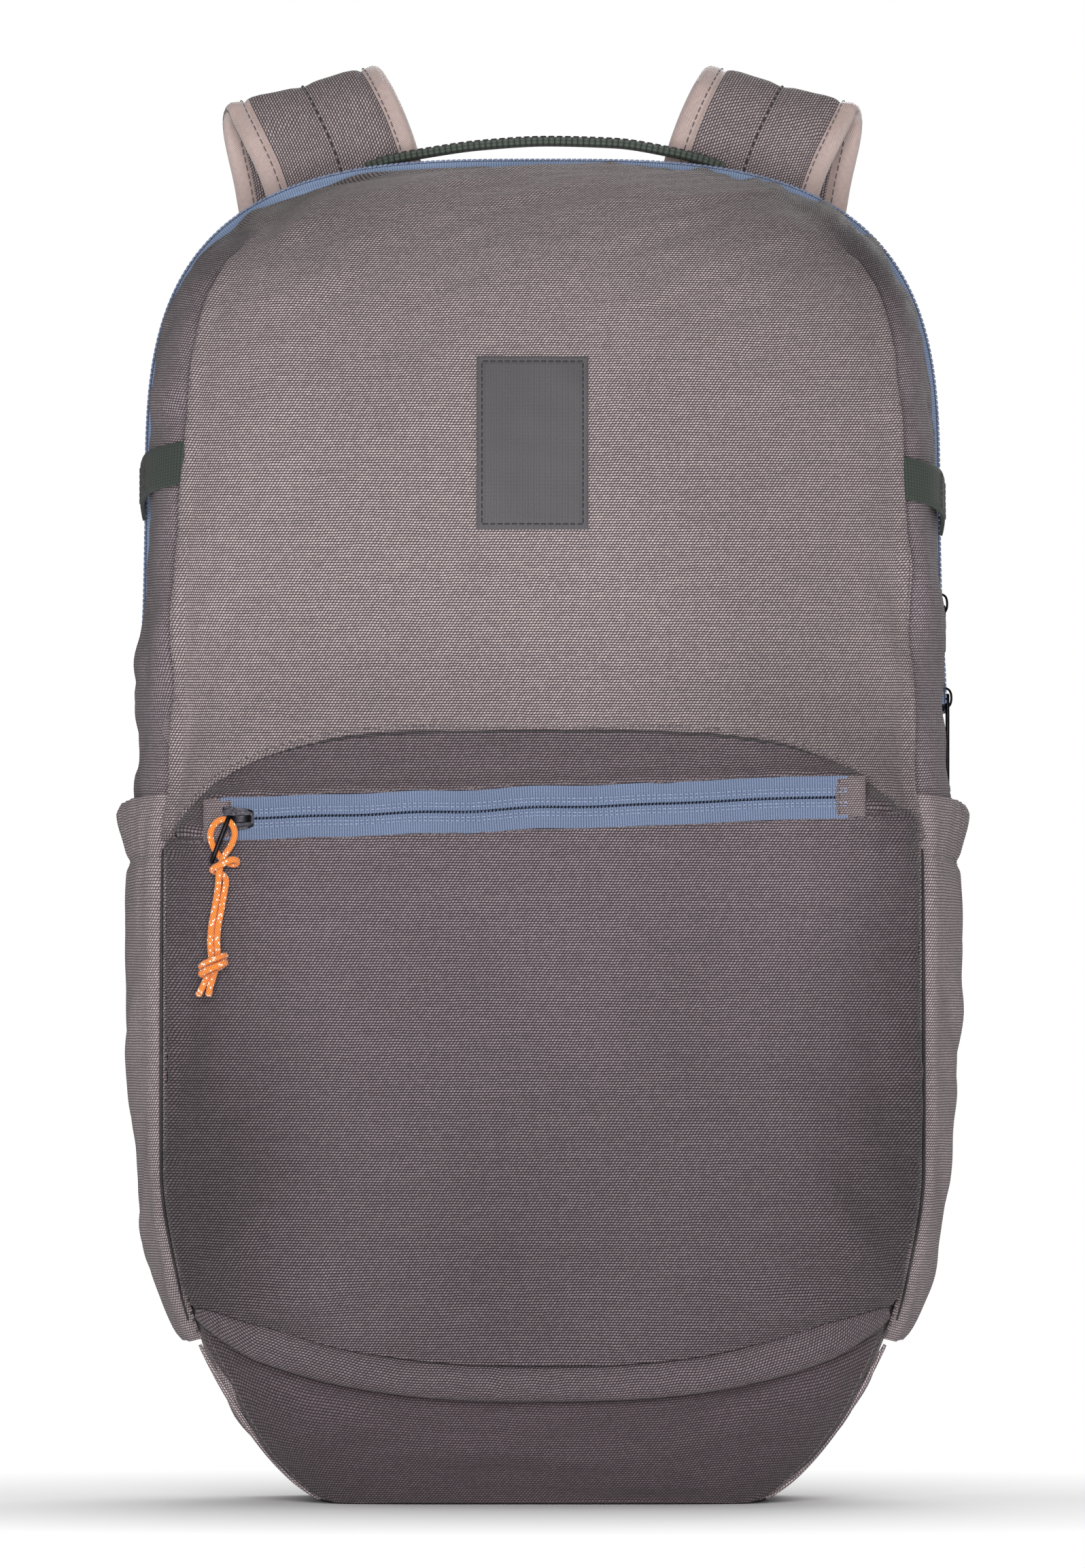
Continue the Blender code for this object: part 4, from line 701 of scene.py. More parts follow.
class Build:
    """Points, faces, looks and cloth coordinates of one piece."""

    def __init__(self):
        self.points, self.cloth, self.faces, self.looks = [], [], [], []
        self.count = 0

    def add(self, points, faces, look, cloth):
        points = np.asarray(points, float).reshape(-1, 3)
        self.points.append(points)
        self.cloth.append(np.asarray(cloth, float).reshape(-1, 3))
        self.faces += [[k + self.count for k in face] for face in faces]
        self.looks += [look] * len(faces) if isinstance(look, int) else list(look)
        self.count += len(points)

    def slab(self, grid, thickness, outer=0, inner=1, cloth=None, back=None):
        """Closed slab whose outer face is the grid."""
        rows, columns = grid.shape[:2]
        back = grid - normals_of(grid) * thickness if back is None else back
        if cloth is None:
            across = arc(grid, 1)
            across = across - across[:, columns // 2:columns // 2 + 1]
            up = np.repeat(arc(grid, 0)[:, columns // 2:columns // 2 + 1], columns, axis=1)
            cloth = cloth_map(across, up)
        half = rows * columns
        index = np.arange(half).reshape(rows, columns)
        quads = np.stack([index[:-1, :-1], index[:-1, 1:], index[1:, 1:], index[1:, :-1]], -1)
        quads = quads.reshape(-1, 4)
        ring = np.concatenate([index[0, :-1], index[:-1, -1], index[-1, :0:-1], index[:0:-1, 0]])
        following = np.roll(ring, -1)
        rim = np.stack([ring, ring + half, following + half, following], -1)
        faces = quads.tolist() + (quads[:, ::-1] + half).tolist() + rim.tolist()
        facing = np.broadcast_to(outer, (rows - 1, columns - 1)).ravel().tolist()
        looks = facing + [inner] * len(quads) + [facing[0]] * len(rim)
        self.add(np.concatenate([grid.reshape(-1, 3), back.reshape(-1, 3)]), faces, looks,
                 np.concatenate([cloth.reshape(-1, 3)] * 2))

    def sweep(self, path, across, section, look=0, closed=False):
        """Tube along a path. Section points are (across, out) offsets: one set, or one per point."""
        path = np.asarray(path, float)
        along = directions(path, closed)
        across = np.broadcast_to(np.asarray(across, float), path.shape)
        across = unit(across - along * (across * along).sum(-1, keepdims=True))
        out = np.cross(across, along)
        section = np.asarray(section, float)
        section = np.broadcast_to(section, (len(path), *section.shape[-2:]))
        rings = path[:, None] + across[:, None] * section[..., :1] + out[:, None] * section[..., 1:]
        count, corners = rings.shape[:2]
        index = np.arange(count * corners).reshape(count, corners)
        after = np.roll(index, -1, axis=1)
        last = count if closed else count - 1
        ahead, ahead_after = np.roll(index, -1, axis=0)[:last], np.roll(after, -1, axis=0)[:last]
        quads = np.stack([index[:last], after[:last], ahead_after, ahead], -1).reshape(-1, 4).tolist()
        looks = look if isinstance(look, int) else list(np.tile(look, last)) + [int(look[0])] * 2
        if not closed:
            quads += [index[0].tolist(), index[-1][::-1].tolist()]
        elif not isinstance(look, int):
            looks = looks[:-2]
        along_way = np.repeat(walk(path)[:, None], corners, 1)
        self.add(rings, quads, looks, cloth_map(along_way, arc(section, 1)))

    def rope(self, path, radius, look=0, sides=10):
        """Round tube along any path, without twist. The radius may change along it."""
        along = directions(path)
        side = np.cross(along[0], (0.31, 0.87, 0.39))
        sides_along = []
        for direction in along:
            side = unit(side - direction * side.dot(direction))
            sides_along.append(side)
        radius = np.broadcast_to(np.asarray(radius, float), (len(path),))
        section = np.stack(circle(sides), -1)[None] * radius[:, None, None]
        self.sweep(path, np.array(sides_along), section, look)

    def ring(self, path, across, radius, look=0, sides=10):
        """Round wire along a closed path that lies in one plane."""
        self.sweep(path, across, np.stack(circle(sides), -1) * radius, look, closed=True)

    def bar(self, centre, axis, reach, radius, sides):
        """Round bar with eased ends. reach holds its last three distances from the centre."""
        near, far, end = reach
        steps = np.array([-end, -far, -near, 0.0, near, far, end])[:, None]
        self.rope(np.array(centre) + steps * np.array(axis), radius * BAR_SIZES, sides=sides)

    def tooth(self, centre, step, radius):
        """One zip tooth, across the zip by a step to each side."""
        path = np.array([centre - step, centre - step * 0.3, centre + step * 0.3, centre + step])
        self.rope(path, radius, sides=6)

    def stitches(self, path, normals, look, pitch=0.0034, length=0.0025, radius=0.0003):
        """A row of thread stitches lying on a surface path."""
        path, normals = np.asarray(path, float), np.asarray(normals, float)
        normals = np.broadcast_to(normals, path.shape)
        walked = walk(path)
        where = np.arange(pitch / 2, walked[-1], pitch)
        if not len(where):
            return
        fields = (path, directions(path), normals)
        centre, along, out = (at_distances(where, walked, field) for field in fields)
        along, out = unit(along), unit(out)
        across = np.cross(out, along)
        stations = STITCH_STATIONS[None, :, None] * length
        sizes = STITCH_SIZES[None, :, None, None] * radius
        aside, raised = (part[None, None, :, None] * sizes for part in circle(STITCH_SIDES))
        rim = across[:, None, None] * aside + out[:, None, None] * raised
        middle = centre[:, None] + along[:, None] * stations + out[:, None] * radius * 0.3
        points = middle[:, :, None] + rim
        index = np.arange(points.shape[1] * STITCH_SIDES).reshape(-1, STITCH_SIDES)
        after = np.roll(index, -1, axis=1)
        body = np.stack([index[:-1], after[:-1], after[1:], index[1:]], -1).reshape(-1, 4).tolist()
        body += [index[0].tolist(), index[-1][::-1].tolist()]
        step = points.shape[1] * STITCH_SIDES
        faces = [[k + n * step for k in face] for n in range(len(where)) for face in body]
        self.add(points, faces, look, np.zeros(points.size))

    def block(self, low, high, look, bevel=0.0008, segments=3):
        """Rectangular block with rounded edges."""
        low, high = np.array(low, float), np.array(high, float)
        made = bmesh.new()
        bmesh.ops.create_cube(made, size=1.0)
        for vertex in made.verts:
            vertex.co = (low + high) / 2 + np.array(vertex.co) * (high - low)
        bmesh.ops.bevel(made, geom=made.edges[:], offset=bevel, segments=segments, profile=0.5,
                        affect="EDGES")
        points = np.array([v.co[:] for v in made.verts])
        self.add(points, [[v.index for v in f.verts] for f in made.faces], look, points)
        made.free()

    def done(self, name, looks, body, replaces=(), sharp=50.0):
        """The piece as an object that rides on a body, or is baked in place when given two."""
        mesh = bpy.data.meshes.new(name)
        mesh.from_pydata(np.concatenate(self.points).tolist(), [], self.faces)
        mesh.polygons.foreach_set("material_index", self.looks)
        cloth = mesh.attributes.new("cloth", "FLOAT_VECTOR", "POINT")
        cloth.data.foreach_set("vector", np.concatenate(self.cloth).ravel())
        turned = bmesh.new()
        turned.from_mesh(mesh)
        bmesh.ops.recalc_face_normals(turned, faces=turned.faces)
        turned.to_mesh(mesh)
        turned.free()
        mesh.shade_smooth()
        mesh.set_sharp_from_angle(angle=math.radians(sharp))
        for look in looks:
            mesh.materials.append(LOOKS[look])
        made = bpy.data.objects.new(name, mesh)
        bpy.context.collection.objects.link(made)
        attach(made, body, replaces)
        return made


def paint_shade(piece, values):
    """Painted shade, with some random tone: how much darker the colour is made, given for the outer
    points of a slab.
    """
    count = values.size
    deep = np.zeros(len(piece.data.vertices))
    deep[:count] = np.clip(values, 0, 0.6).ravel()
    piece.data.attributes.new("deep", "FLOAT", "POINT").data.foreach_set("value", deep)


def attach(piece, body, replaces=()):
    """Rides the piece on a body, or for two bodies bakes it in place, and hides the imported parts that
    it replaces.
    """
    if isinstance(body, str):
        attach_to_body(piece, body)
    else:
        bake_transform(piece)
    if replaces:
        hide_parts(*replaces)


# ---- pull cord ---------------------------------------------------------------------------------
CORD_DIAMETER = 0.0024
WIRE_TOP = np.array([-0.112, -0.0965, 0.2462])
WIRE_LEAN = np.array([-0.36, 0.0, -0.93])
WIRE_LENGTH = 0.017
KNOT = np.array([-0.1176, -0.098, 0.1934])           # middle of the overhand knot
CORD_SPACING = 0.0012         # half the distance between its two strands


def cord_route():
    """One cord: tail, doubled knot, strand, loop through the wire and round itself, and back."""
    toward = np.array([1.0, -1.0, 1.0])               # second number: towards the viewer
    loop = [(-118.3, 0.5, 206.5), (-117.1, 0.3, 213.5), (-115.9, 0.2, 221.0), (-115.4, 0.6, 227.0),
            (-113.9, 1.3, 232.0), (-111.2, 0.9, 236.2), (-109.8, 0.2, 240.4), (-111.2, 0.0, 244.2),
            (-114.2, 0.0, 245.6), (-117.3, 0.0, 243.6), (-118.6, 0.0, 239.8), (-117.6, -0.2, 235.8),
            (-115.4, -1.1, 232.4), (-112.4, -1.2, 229.9), (-109.5, -0.5, 229.2), (-108.9, 1.4, 230.8),
            (-110.9, 3.2, 231.2), (-113.8, 3.6, 229.8), (-116.9, 2.3, 228.4), (-118.1, 0.1, 227.4),
            (-116.8, -1.9, 226.8), (-114.2, -2.1, 225.8), (-112.9, -0.9, 223.6), (-113.5, 0.1, 220.0),
            (-114.7, 0.3, 213.0), (-115.9, 0.5, 206.5)]
    middle = [(0.2, 0.2, 8.0), (0.4, -0.6, 5.0), (0.6, -1.5, 2.4), (-0.6, -2.4, -0.6),
              (-3.2, -1.6, -2.2), (-4.4, 0.7, -1.8), (-2.7, 2.6, -0.6), (0.5, 3.2, 0.8),
              (3.5, 2.0, 2.0), (4.5, -0.4, 2.2), (3.3, -2.5, 1.0), (0.7, -3.4, -0.8),
              (-0.6, -2.5, -3.2), (-1.4, -0.4, -5.2), (-2.4, 0.6, -7.6), (-3.3, 0.7, -10.4)]
    aside = [(1, 0, 0), (1, 0, 0), (1, 0, 0.2), (0.9, 0, 0.5), (0.3, 0, 1), (0, 0, 1),
             (-0.3, 0, 1), (-0.4, 0, 1), (-0.3, 0, 1), (0, 0, 1), (0.3, 0, 1), (0.5, 0, 0.9),
             (0.9, 0, 0.4), (1, 0, 0), (1.1, 0, 0), (1.5, 0, 0)]
    centre, offset = np.array(middle) * 0.001, np.array(aside, float) * CORD_SPACING
    left, right = (KNOT + (centre + flip * offset) * toward for flip in (-1, 1))
    top = np.array([0.0, ZIP_FRONT_Y - 0.005, 0.0]) + np.array(loop) * 0.001 * toward
    points = np.concatenate([left[::-1], top, right])
    return smoothed(resampled(curve_through(points, 1200), 0.0006), 5)


def pull_cord():
    """Orange cord on the front zip's wire pull, with its knot and two sealed ends."""
    route = cord_route()
    cord = Build()
    cord.rope(route, CORD_DIAMETER / 2, sides=14)
    made = cord.done("cord", ["cord"], "pull_cord", ["pull_cord", "cord_knot"], 80.0)
    ends = Build()
    for end, direction in ((route[0], route[0] - route[4]), (route[-1], route[-1] - route[-5])):
        tip = np.linspace(-0.0006, 0.0009, 5)[:, None] * unit(direction) + end
        ends.rope(tip, CORD_DIAMETER / 2 * np.array([1.04, 1.06, 1.0, 0.85, 0.5]), sides=14)
    sealed = ends.done("cord_sealed_ends", ["cord"], "pull_cord")


# ---- body cloth --------------------------------------------------------------------------------
def spaced(count, crowd=1.25):
    """Shares from 0 to 1 that crowd towards 1, with extra ones right beside 1."""
    shares = 1 - (1 - np.linspace(0, 1, count)) ** crowd
    return np.unique(np.concatenate([shares, [0.975, 0.985, 0.992, 0.997]]))


def flap_grid():
    """Angles and heights of the flap's cloth, from its left zip edge to its right one."""
    front, gusset = spaced(66), spaced(50, 1.1)
    side = np.concatenate([front, 2 - gusset[::-1][1:]])            # 0 centre, 1 seam, 2 zip edge
    side = np.concatenate([-side[::-1][:-1], side])
    share = 1 - (1 - np.linspace(0, 1, 150)) ** 1.6
    share = np.unique(np.concatenate([share, [0.002, 0.005, 0.009]]))
    bottom = np.full(side.shape, ARCH_FOOT)
    for _ in range(4):
        angle = seam_angle(bottom)
        turn = math.pi / 2 - (math.pi / 2 - angle) * np.minimum(np.abs(side), 1)
        x = shell(-turn, bottom)[:, 0]
        bottom = np.where(np.abs(side) < 1, arch_height(x), ARCH_FOOT)
    top = HEIGHT - 0.0003
    z = bottom[None] + (top - bottom[None]) * share[:, None]
    reach = np.broadcast_to(np.abs(side)[None], z.shape)
    seam, tape = seam_angle(z), tape_angle(z)
    from_front = math.pi / 2 - (math.pi / 2 - seam) * np.minimum(reach, 1)
    turn = np.where(reach <= 1, from_front, seam + (tape - seam) * (reach - 1))
    grid = shell(-turn, z)
    grid[..., 0] *= np.where(side < 0, -1.0, 1.0)[None]
    return grid, side, bottom


def flap_cloth():
    """Front panel, gussets and the cloth below them: one sewn sheet down to the arched seam."""
    grid, side, bottom = flap_grid()
    x, z = grid[..., 0], grid[..., 2]
    walked = arc(grid, 1)
    middle = len(side) // 2
    left, right = int(np.argmin(np.abs(side + 1))), int(np.argmin(np.abs(side - 1)))
    fade = 1 - ease(z, 0.44, DART_TIP + 0.011)
    rise = np.zeros_like(x)
    for seam, outward in ((left, -1), (right, 1)):
        off = (walked - walked[:, seam:seam + 1]) * outward         # positive on the gusset
        rise += fade * np.where(off <= 0, 0.0017 * hill(off, 0.0045), 0.0)
        rise -= fade * np.where(off > 0, 0.004 * hill(off, 0.008), 0.0)
    to_zip = np.minimum(walked, walked[:, -1:] - walked)
    rise -= 0.002 * hill(to_zip, 0.0052) - 0.0005 * hill(to_zip - 0.0085, 0.003)
    crown = 0.3 * hill(x / 0.06, 1.0) * ease(z, 0.45, 0.48)
    shown = 0.001 + 0.0013 * ease(z, 0.3, 0.4) * (1 - crown)
    rise -= shown * (1 - ease(to_zip, 0.04, 0.1))
    above = z - bottom[None]
    in_front = 1 - ease(np.abs(side), 0.97, 1.02)[None]
    rise += in_front * (0.0022 * hill(above, 0.016) - 0.0016 * hill(above, 0.0011))
    calm = 1 - 0.85 * hill((x + 0.0036) / 0.03, 1.0) * hill((z - 0.38) / 0.04, 1.0)
    up = walk(grid[:, middle]) + bottom[middle]
    level = np.where(z < z[0, middle], z, np.interp(z, grid[:, middle, 2], up))
    rise += calm * 0.0009 * ripple(walked, level, 0.075, 3)
    rise += calm * 0.00035 * ripple(walked, level, 0.028, 4)
    gusset = ease(np.abs(side), 1.03, 1.35)[None] * (1 - ease(np.abs(side), 1.75, 1.98))[None]
    webbed = 1 - 0.8 * hill((z - 0.366) / 0.013, 1.0)
    rise += gusset * webbed * (0.0011 * ripple(walked * 1.4, level, 0.05, 5)
                               + 0.0005 * ripple(walked, level, 0.018, 6))
    rise += folds(x, z, FLAP_CREASES)
    grid = grid + normals_of(grid) * rise[..., None]
    cloth = cloth_map(walked - walked[:, middle:middle + 1], level)
    sheet = Build()
    # Beyond the front seams, below the dart tips, the cloth takes the darker gusset copy: painted shade
    # where it turns to the side.
    beyond = (np.abs(side) > 1.0001)[None, :-1] | (np.abs(side) > 1.0001)[None, 1:]
    low_enough = z[:-1, left:left + 1] < DART_TIP + 0.013
    sheet.slab(grid, CLOTH, np.where(beyond & low_enough, 3, 0), 1, cloth)
    out = normals_of(grid)
    low = int(np.argmin(np.abs(z[:, middle] - bottom[middle] - 0.003)))
    sheet.stitches(grid[low, left + 4:right - 3], out[low, left + 4:right - 3], 2)
    for seam, inward in ((left, 2), (right, -2)):
        column = seam + inward
        rows = z[:, column] < DART_TIP - 0.012
        sheet.stitches(grid[rows, column], out[rows, column], 2, 0.003, 0.0014, 0.00016)
    for column in (4, len(side) - 5):
        sheet.stitches(grid[:, column], out[:, column], 2, radius=0.00025)
    # Thin dark ropes on the gusset side of each front seam: painted shadow in the seam's groove.
    for seam, outward in ((left, -1), (right, 1)):
        rows = (z[:, seam] > 0.262) & (z[:, seam] < DART_TIP + 0.004)
        line = (grid + out * 0.0001)[rows, seam + outward]
        taper = np.sin(np.linspace(0.15, math.pi - 0.15, len(line))) ** 0.4
        sheet.rope(line, 0.0006 * taper, 4, sides=8)
    piece = sheet.done("flap_cloth", ["front", "lining", "thread", "gusset", "groove"], FLAP_BEND,
                       ["front_panel", "side_gusset_left", "side_gusset_right", "front_fold"])
    # Painted shade: darker towards the upper corners, along the top, on the right half and just above
    # the arched seam, where the cloth lies in shade; the ripple adds random tone.
    corner = ease(np.abs(side), 0.86, 1.1)[None] * ease(z, 0.405, 0.455)
    upper = 0.5 * ease(z, 0.435, 0.48) * ease(np.abs(x), 0.035, 0.095)
    paint_shade(piece, np.maximum(corner, upper) * np.where(x > 0, 0.56, 0.38)
           + 0.2 * in_front * (1 - ease(above, 0.0, 0.075)) + 0.14 * in_front * ease(x, 0.02, 0.11)
           + 0.05 * ripple(x, z, 0.12, 7))


# Start, end (x, z), width and height of the soft folds in the flap's cloth.
FLAP_CREASES = [
    ((0.111, 0.444), (0.088, 0.477), 0.006, -0.002), ((0.115, 0.444), (0.113, 0.47), 0.0045, -0.0018),
    ((0.11, 0.443), (0.07, 0.456), 0.007, -0.0012), ((-0.111, 0.448), (-0.086, 0.479), 0.006, -0.0022),
    ((-0.115, 0.448), (-0.112, 0.472), 0.0045, -0.0018),
    ((-0.109, 0.447), (-0.066, 0.457), 0.007, -0.0012),
    ((-0.13, 0.33), (-0.146, 0.295), 0.006, 0.0022), ((-0.129, 0.305), (-0.146, 0.262), 0.0055, -0.002),
    ((-0.128, 0.396), (-0.144, 0.382), 0.006, -0.0018), ((0.13, 0.346), (0.145, 0.305), 0.006, 0.0024),
    ((0.129, 0.32), (0.146, 0.276), 0.006, -0.0022), ((0.126, 0.408), (0.142, 0.386), 0.006, -0.0018),
    ((-0.045, 0.348), (0.045, 0.338), 0.016, -0.0009), ((-0.11, 0.3), (-0.05, 0.295), 0.012, -0.001),
    ((0.11, 0.3), (0.05, 0.293), 0.012, -0.001), ((-0.09, 0.41), (-0.02, 0.43), 0.014, -0.0008),
]


def side_turns(z, forward, backward, last, margin):
    """Turns round the side of the body, from its front seam to a share of its depth behind the zip."""
    edge = side_edge_angle(z) - margin
    ahead = -edge[:, None] * (1 - spaced(forward, 1.0)[None])
    behind = np.broadcast_to(np.linspace(0, last, backward + 1)[1:], (len(z), backward))
    return np.concatenate([ahead, behind], 1)


def side_cloth():
    """Side panels: seen under the side pockets and behind their hems, and sunk in between."""
    for name, flip in SIDES:
        under_tape = [0.2826, 0.2838, 0.285, 0.2862, 0.2874]
        z = np.concatenate([np.linspace(0.0012, 0.06, 30), np.linspace(0.064, PANEL_TOP, 74),
                            under_tape])
        turn = side_turns(z, 44, 20, 1.0, 0.003 - 0.07 * (1 - ease(z, 0.056, 0.066)))
        level = np.broadcast_to(z[:, None], turn.shape)
        grid = shell(turn, level)
        across = np.clip((turn + 0.8) / 0.35, 0, 1) * np.clip((0.95 - turn) / 0.4, 0, 1)
        down = np.clip((0.272 - level) / 0.028, 0, 1) * np.clip((level - 0.03) / 0.05, 0, 1)
        rise = -0.0012 - 0.0075 * across * down - 0.0016 * ease(PANEL_TOP - level, 0.0, 0.02) * across
        rise -= 0.0012 * ease(level, 0.235, 0.25) + 0.0012 * ease(level, 0.2806, 0.283)
        open_low = 1 - ease(level, 0.045, 0.06)
        walked = arc(grid, 1)
        seed = 21 if flip > 0 else 31
        rise += 0.0012 * open_low * ripple(walked, level, 0.03, seed)
        rise += 0.0012 * hill(walked - 0.006, 0.004) * open_low
        sheet = Build()
        sheet.slab(handed(grid + normals_of(grid) * rise[..., None], flip), 0.0016, 0, 1)
        sheet.done("side_cloth_" + name, ["side", "lining"], "root",
                   ["side_panel_" + name])


def side_pocket_grid(flip):
    """Grid and heights of one side pocket with its gathered hem, before it is mirrored."""
    z = np.concatenate([np.linspace(POCKET_FLOOR + 0.002, 0.2, 60),
                        np.linspace(0.202, HEM_TOP, 36)])
    turn = side_turns(z, 54, 20, 0.93, 0.001)
    level = np.broadcast_to(z[:, None], turn.shape)
    grid = shell(turn, level)
    walked = arc(grid, 1)
    seed = 41 if flip > 0 else 51
    across = np.clip((turn + 0.74) / 0.3, 0, 1) * np.clip((0.93 - turn) / 0.3, 0, 1)
    share = np.clip((level - POCKET_FLOOR) / (HEM_BOTTOM - POCKET_FLOOR), 0, 1)
    swollen = np.sin(math.pi * share) ** 0.7
    out = across * (0.001 + 0.0012 * swollen + 0.0042 * ease(level, HEM_BOTTOM, HEM_TOP - 0.002))
    gathered = ease(level, 0.18, 0.236)
    phase = walked / 0.0118 + 0.9 * ripple(walked, level * 0.2, 0.035, seed)
    depth = 0.55 + 0.45 * ripple(walked, level * 0.1, 0.03, seed + 1)
    out = out + across * gathered * 0.0011 * depth * np.sin(2 * math.pi * phase)
    out = out - 0.0014 * across * (hill(level - HEM_BOTTOM, 0.0024) + hill(level - HEM_TOP, 0.0016))
    calm = 1 - 0.75 * hill(turn, 0.45)
    out = out + across * swollen * calm * (0.0016 * ripple(walked, level, 0.06, seed + 2)
                                           + 0.0006 * ripple(walked, level, 0.024, seed + 3))
    end = walked[:, -1:] - walked
    out = out - 0.0016 * hill(walked, 0.0035) - 0.0014 * hill(end, 0.0035)
    out = out + 0.0008 * hill(walked - 0.008, 0.004) - 0.0014 * hill(level - POCKET_FLOOR, 0.0035)
    out = out + across * calm * folds(walked, level, SIDE_CREASES) * (1 if flip > 0 else -0.9)
    grid = grid + normals_of(grid) * out[..., None]
    grid[..., 2] -= 0.0046 * ease(level, 0.2, HEM_TOP) * ease(turn, -0.75, -0.3)
    return grid, level


# Start, end (distance round from the front seam, height), width and height of the side pockets' folds.
SIDE_CREASES = [
    ((0.01, 0.205), (0.07, 0.15), 0.0065, 0.0026), ((0.004, 0.15), (0.06, 0.085), 0.007, 0.0024),
    ((0.02, 0.11), (0.11, 0.065), 0.006, -0.002), ((0.09, 0.21), (0.14, 0.12), 0.007, 0.0022),
    ((0.006, 0.095), (0.035, 0.062), 0.005, 0.0018),
]


def side_pockets():
    """Both stretch side pockets, with a row of stitches under the hem."""
    for name, flip in SIDES:
        grid, level = side_pocket_grid(flip)
        grid = handed(grid, flip)
        sheet = Build()
        sheet.slab(grid, CLOTH, 0, 1)
        out = normals_of(grid)
        row = int(np.argmin(np.abs(level[:, 0] - HEM_BOTTOM)))
        sheet.stitches(grid[row], out[row], 2)
        sheet.done("side_pocket_cloth_" + name, ["side", "lining", "thread"], "root",
                   ["side_pocket_" + name, "side_pocket_hem_" + name])


def base_cloth():
    """Base panel from the rolled seam over the floor to the back, and the piping of its front edges."""
    columns = 120
    side = np.linspace(-1, 1, columns + 1)
    rows = []
    for share in np.concatenate([np.linspace(1.0, 0.12, 34), [0.08, 0.05, 0.025, 0.01]]):
        z = np.zeros_like(side)
        for _ in range(4):
            x = side * (base_seam(z) - 0.0006)
            z = share * (roll_height(x) - 0.004)
        rows.append(np.stack([x, front_y(x, z), z], -1))
    x = side * (base_seam(0.0) - 0.0006)
    start, end = front_y(x, np.zeros_like(x)), ZIP_Y + REAR_BASE_DEPTH
    for share in np.linspace(0, 1, 30):
        widening = 0.002
        if 0 < share < 0.87:
            widening = 0.0085 * math.sin(math.pi * min(share * 1.15, 1.0)) ** 0.6
        y = start + (end - start) * share
        rows.append(np.stack([x + side * widening, y, np.zeros_like(x)], -1))
    for z in (0.003, 0.008, 0.014, 0.021, 0.028, 0.036, 0.043, 0.0496):
        reach = half_width(z) - REAR_INSET - 0.0018
        y = ZIP_Y + rear_depth(z)
        rows.append(np.stack([side * reach, np.full_like(side, float(y)), np.full_like(side, z)], -1))
    grid = np.array(rows[::-1])
    x, z = grid[..., 0], grid[..., 2]
    facing = (grid[..., 1] < -0.02) & (z > 0.0005)
    to_seam = edge_distance(grid, 1)
    rise = np.where(facing, 0.001 * ripple(x, z, 0.06, 61) + 0.0004 * ripple(x, z, 0.022, 62), 0.0)
    rise = rise * ease(z, 0.0, 0.012) - 0.0016 * hill(to_seam, 0.003)
    rise += 0.0007 * hill(to_seam - 0.0065, 0.0035)
    rise += np.where(facing, folds(x, z, BASE_CREASES), 0.0)
    grid = grid + normals_of(grid) * rise[..., None]
    grid[..., 2] = np.maximum(grid[..., 2], 0.0)
    sheet = Build()
    sheet.slab(grid, CLOTH, 0, 1)
    out = normals_of(grid)
    front_rows = slice(len(grid) - 37, len(grid) - 2)
    for column in (2, columns - 2):
        sheet.stitches(grid[front_rows, column], out[front_rows, column], 2, radius=0.0002)
    sheet.done("base_cloth", ["base", "lining", "thread"], "root", ["base_panel"])
    piping = Build()
    for flip in (1.0, -1.0):
        z = np.linspace(0.0015, 0.057, 60)
        edge = base_seam(z) - 0.0011
        line = np.stack([flip * edge, front_y(edge, z) - 0.0002, z], -1)
        piping.rope(line, 0.0012 * np.sin(np.linspace(0.12, math.pi - 0.12, 60)) ** 0.3, sides=8)
    piping.done("base_piping", ["side"], "root")


# Start, end (x, z), width and height of the base panel's folds.
BASE_CREASES = [
    ((-0.06, 0.02), (0.05, 0.014), 0.005, 0.0012), ((-0.1, 0.046), (-0.05, 0.032), 0.005, -0.0012),
    ((0.105, 0.05), (0.05, 0.03), 0.005, -0.0012), ((-0.03, 0.008), (0.07, 0.006), 0.003, 0.0008),
]


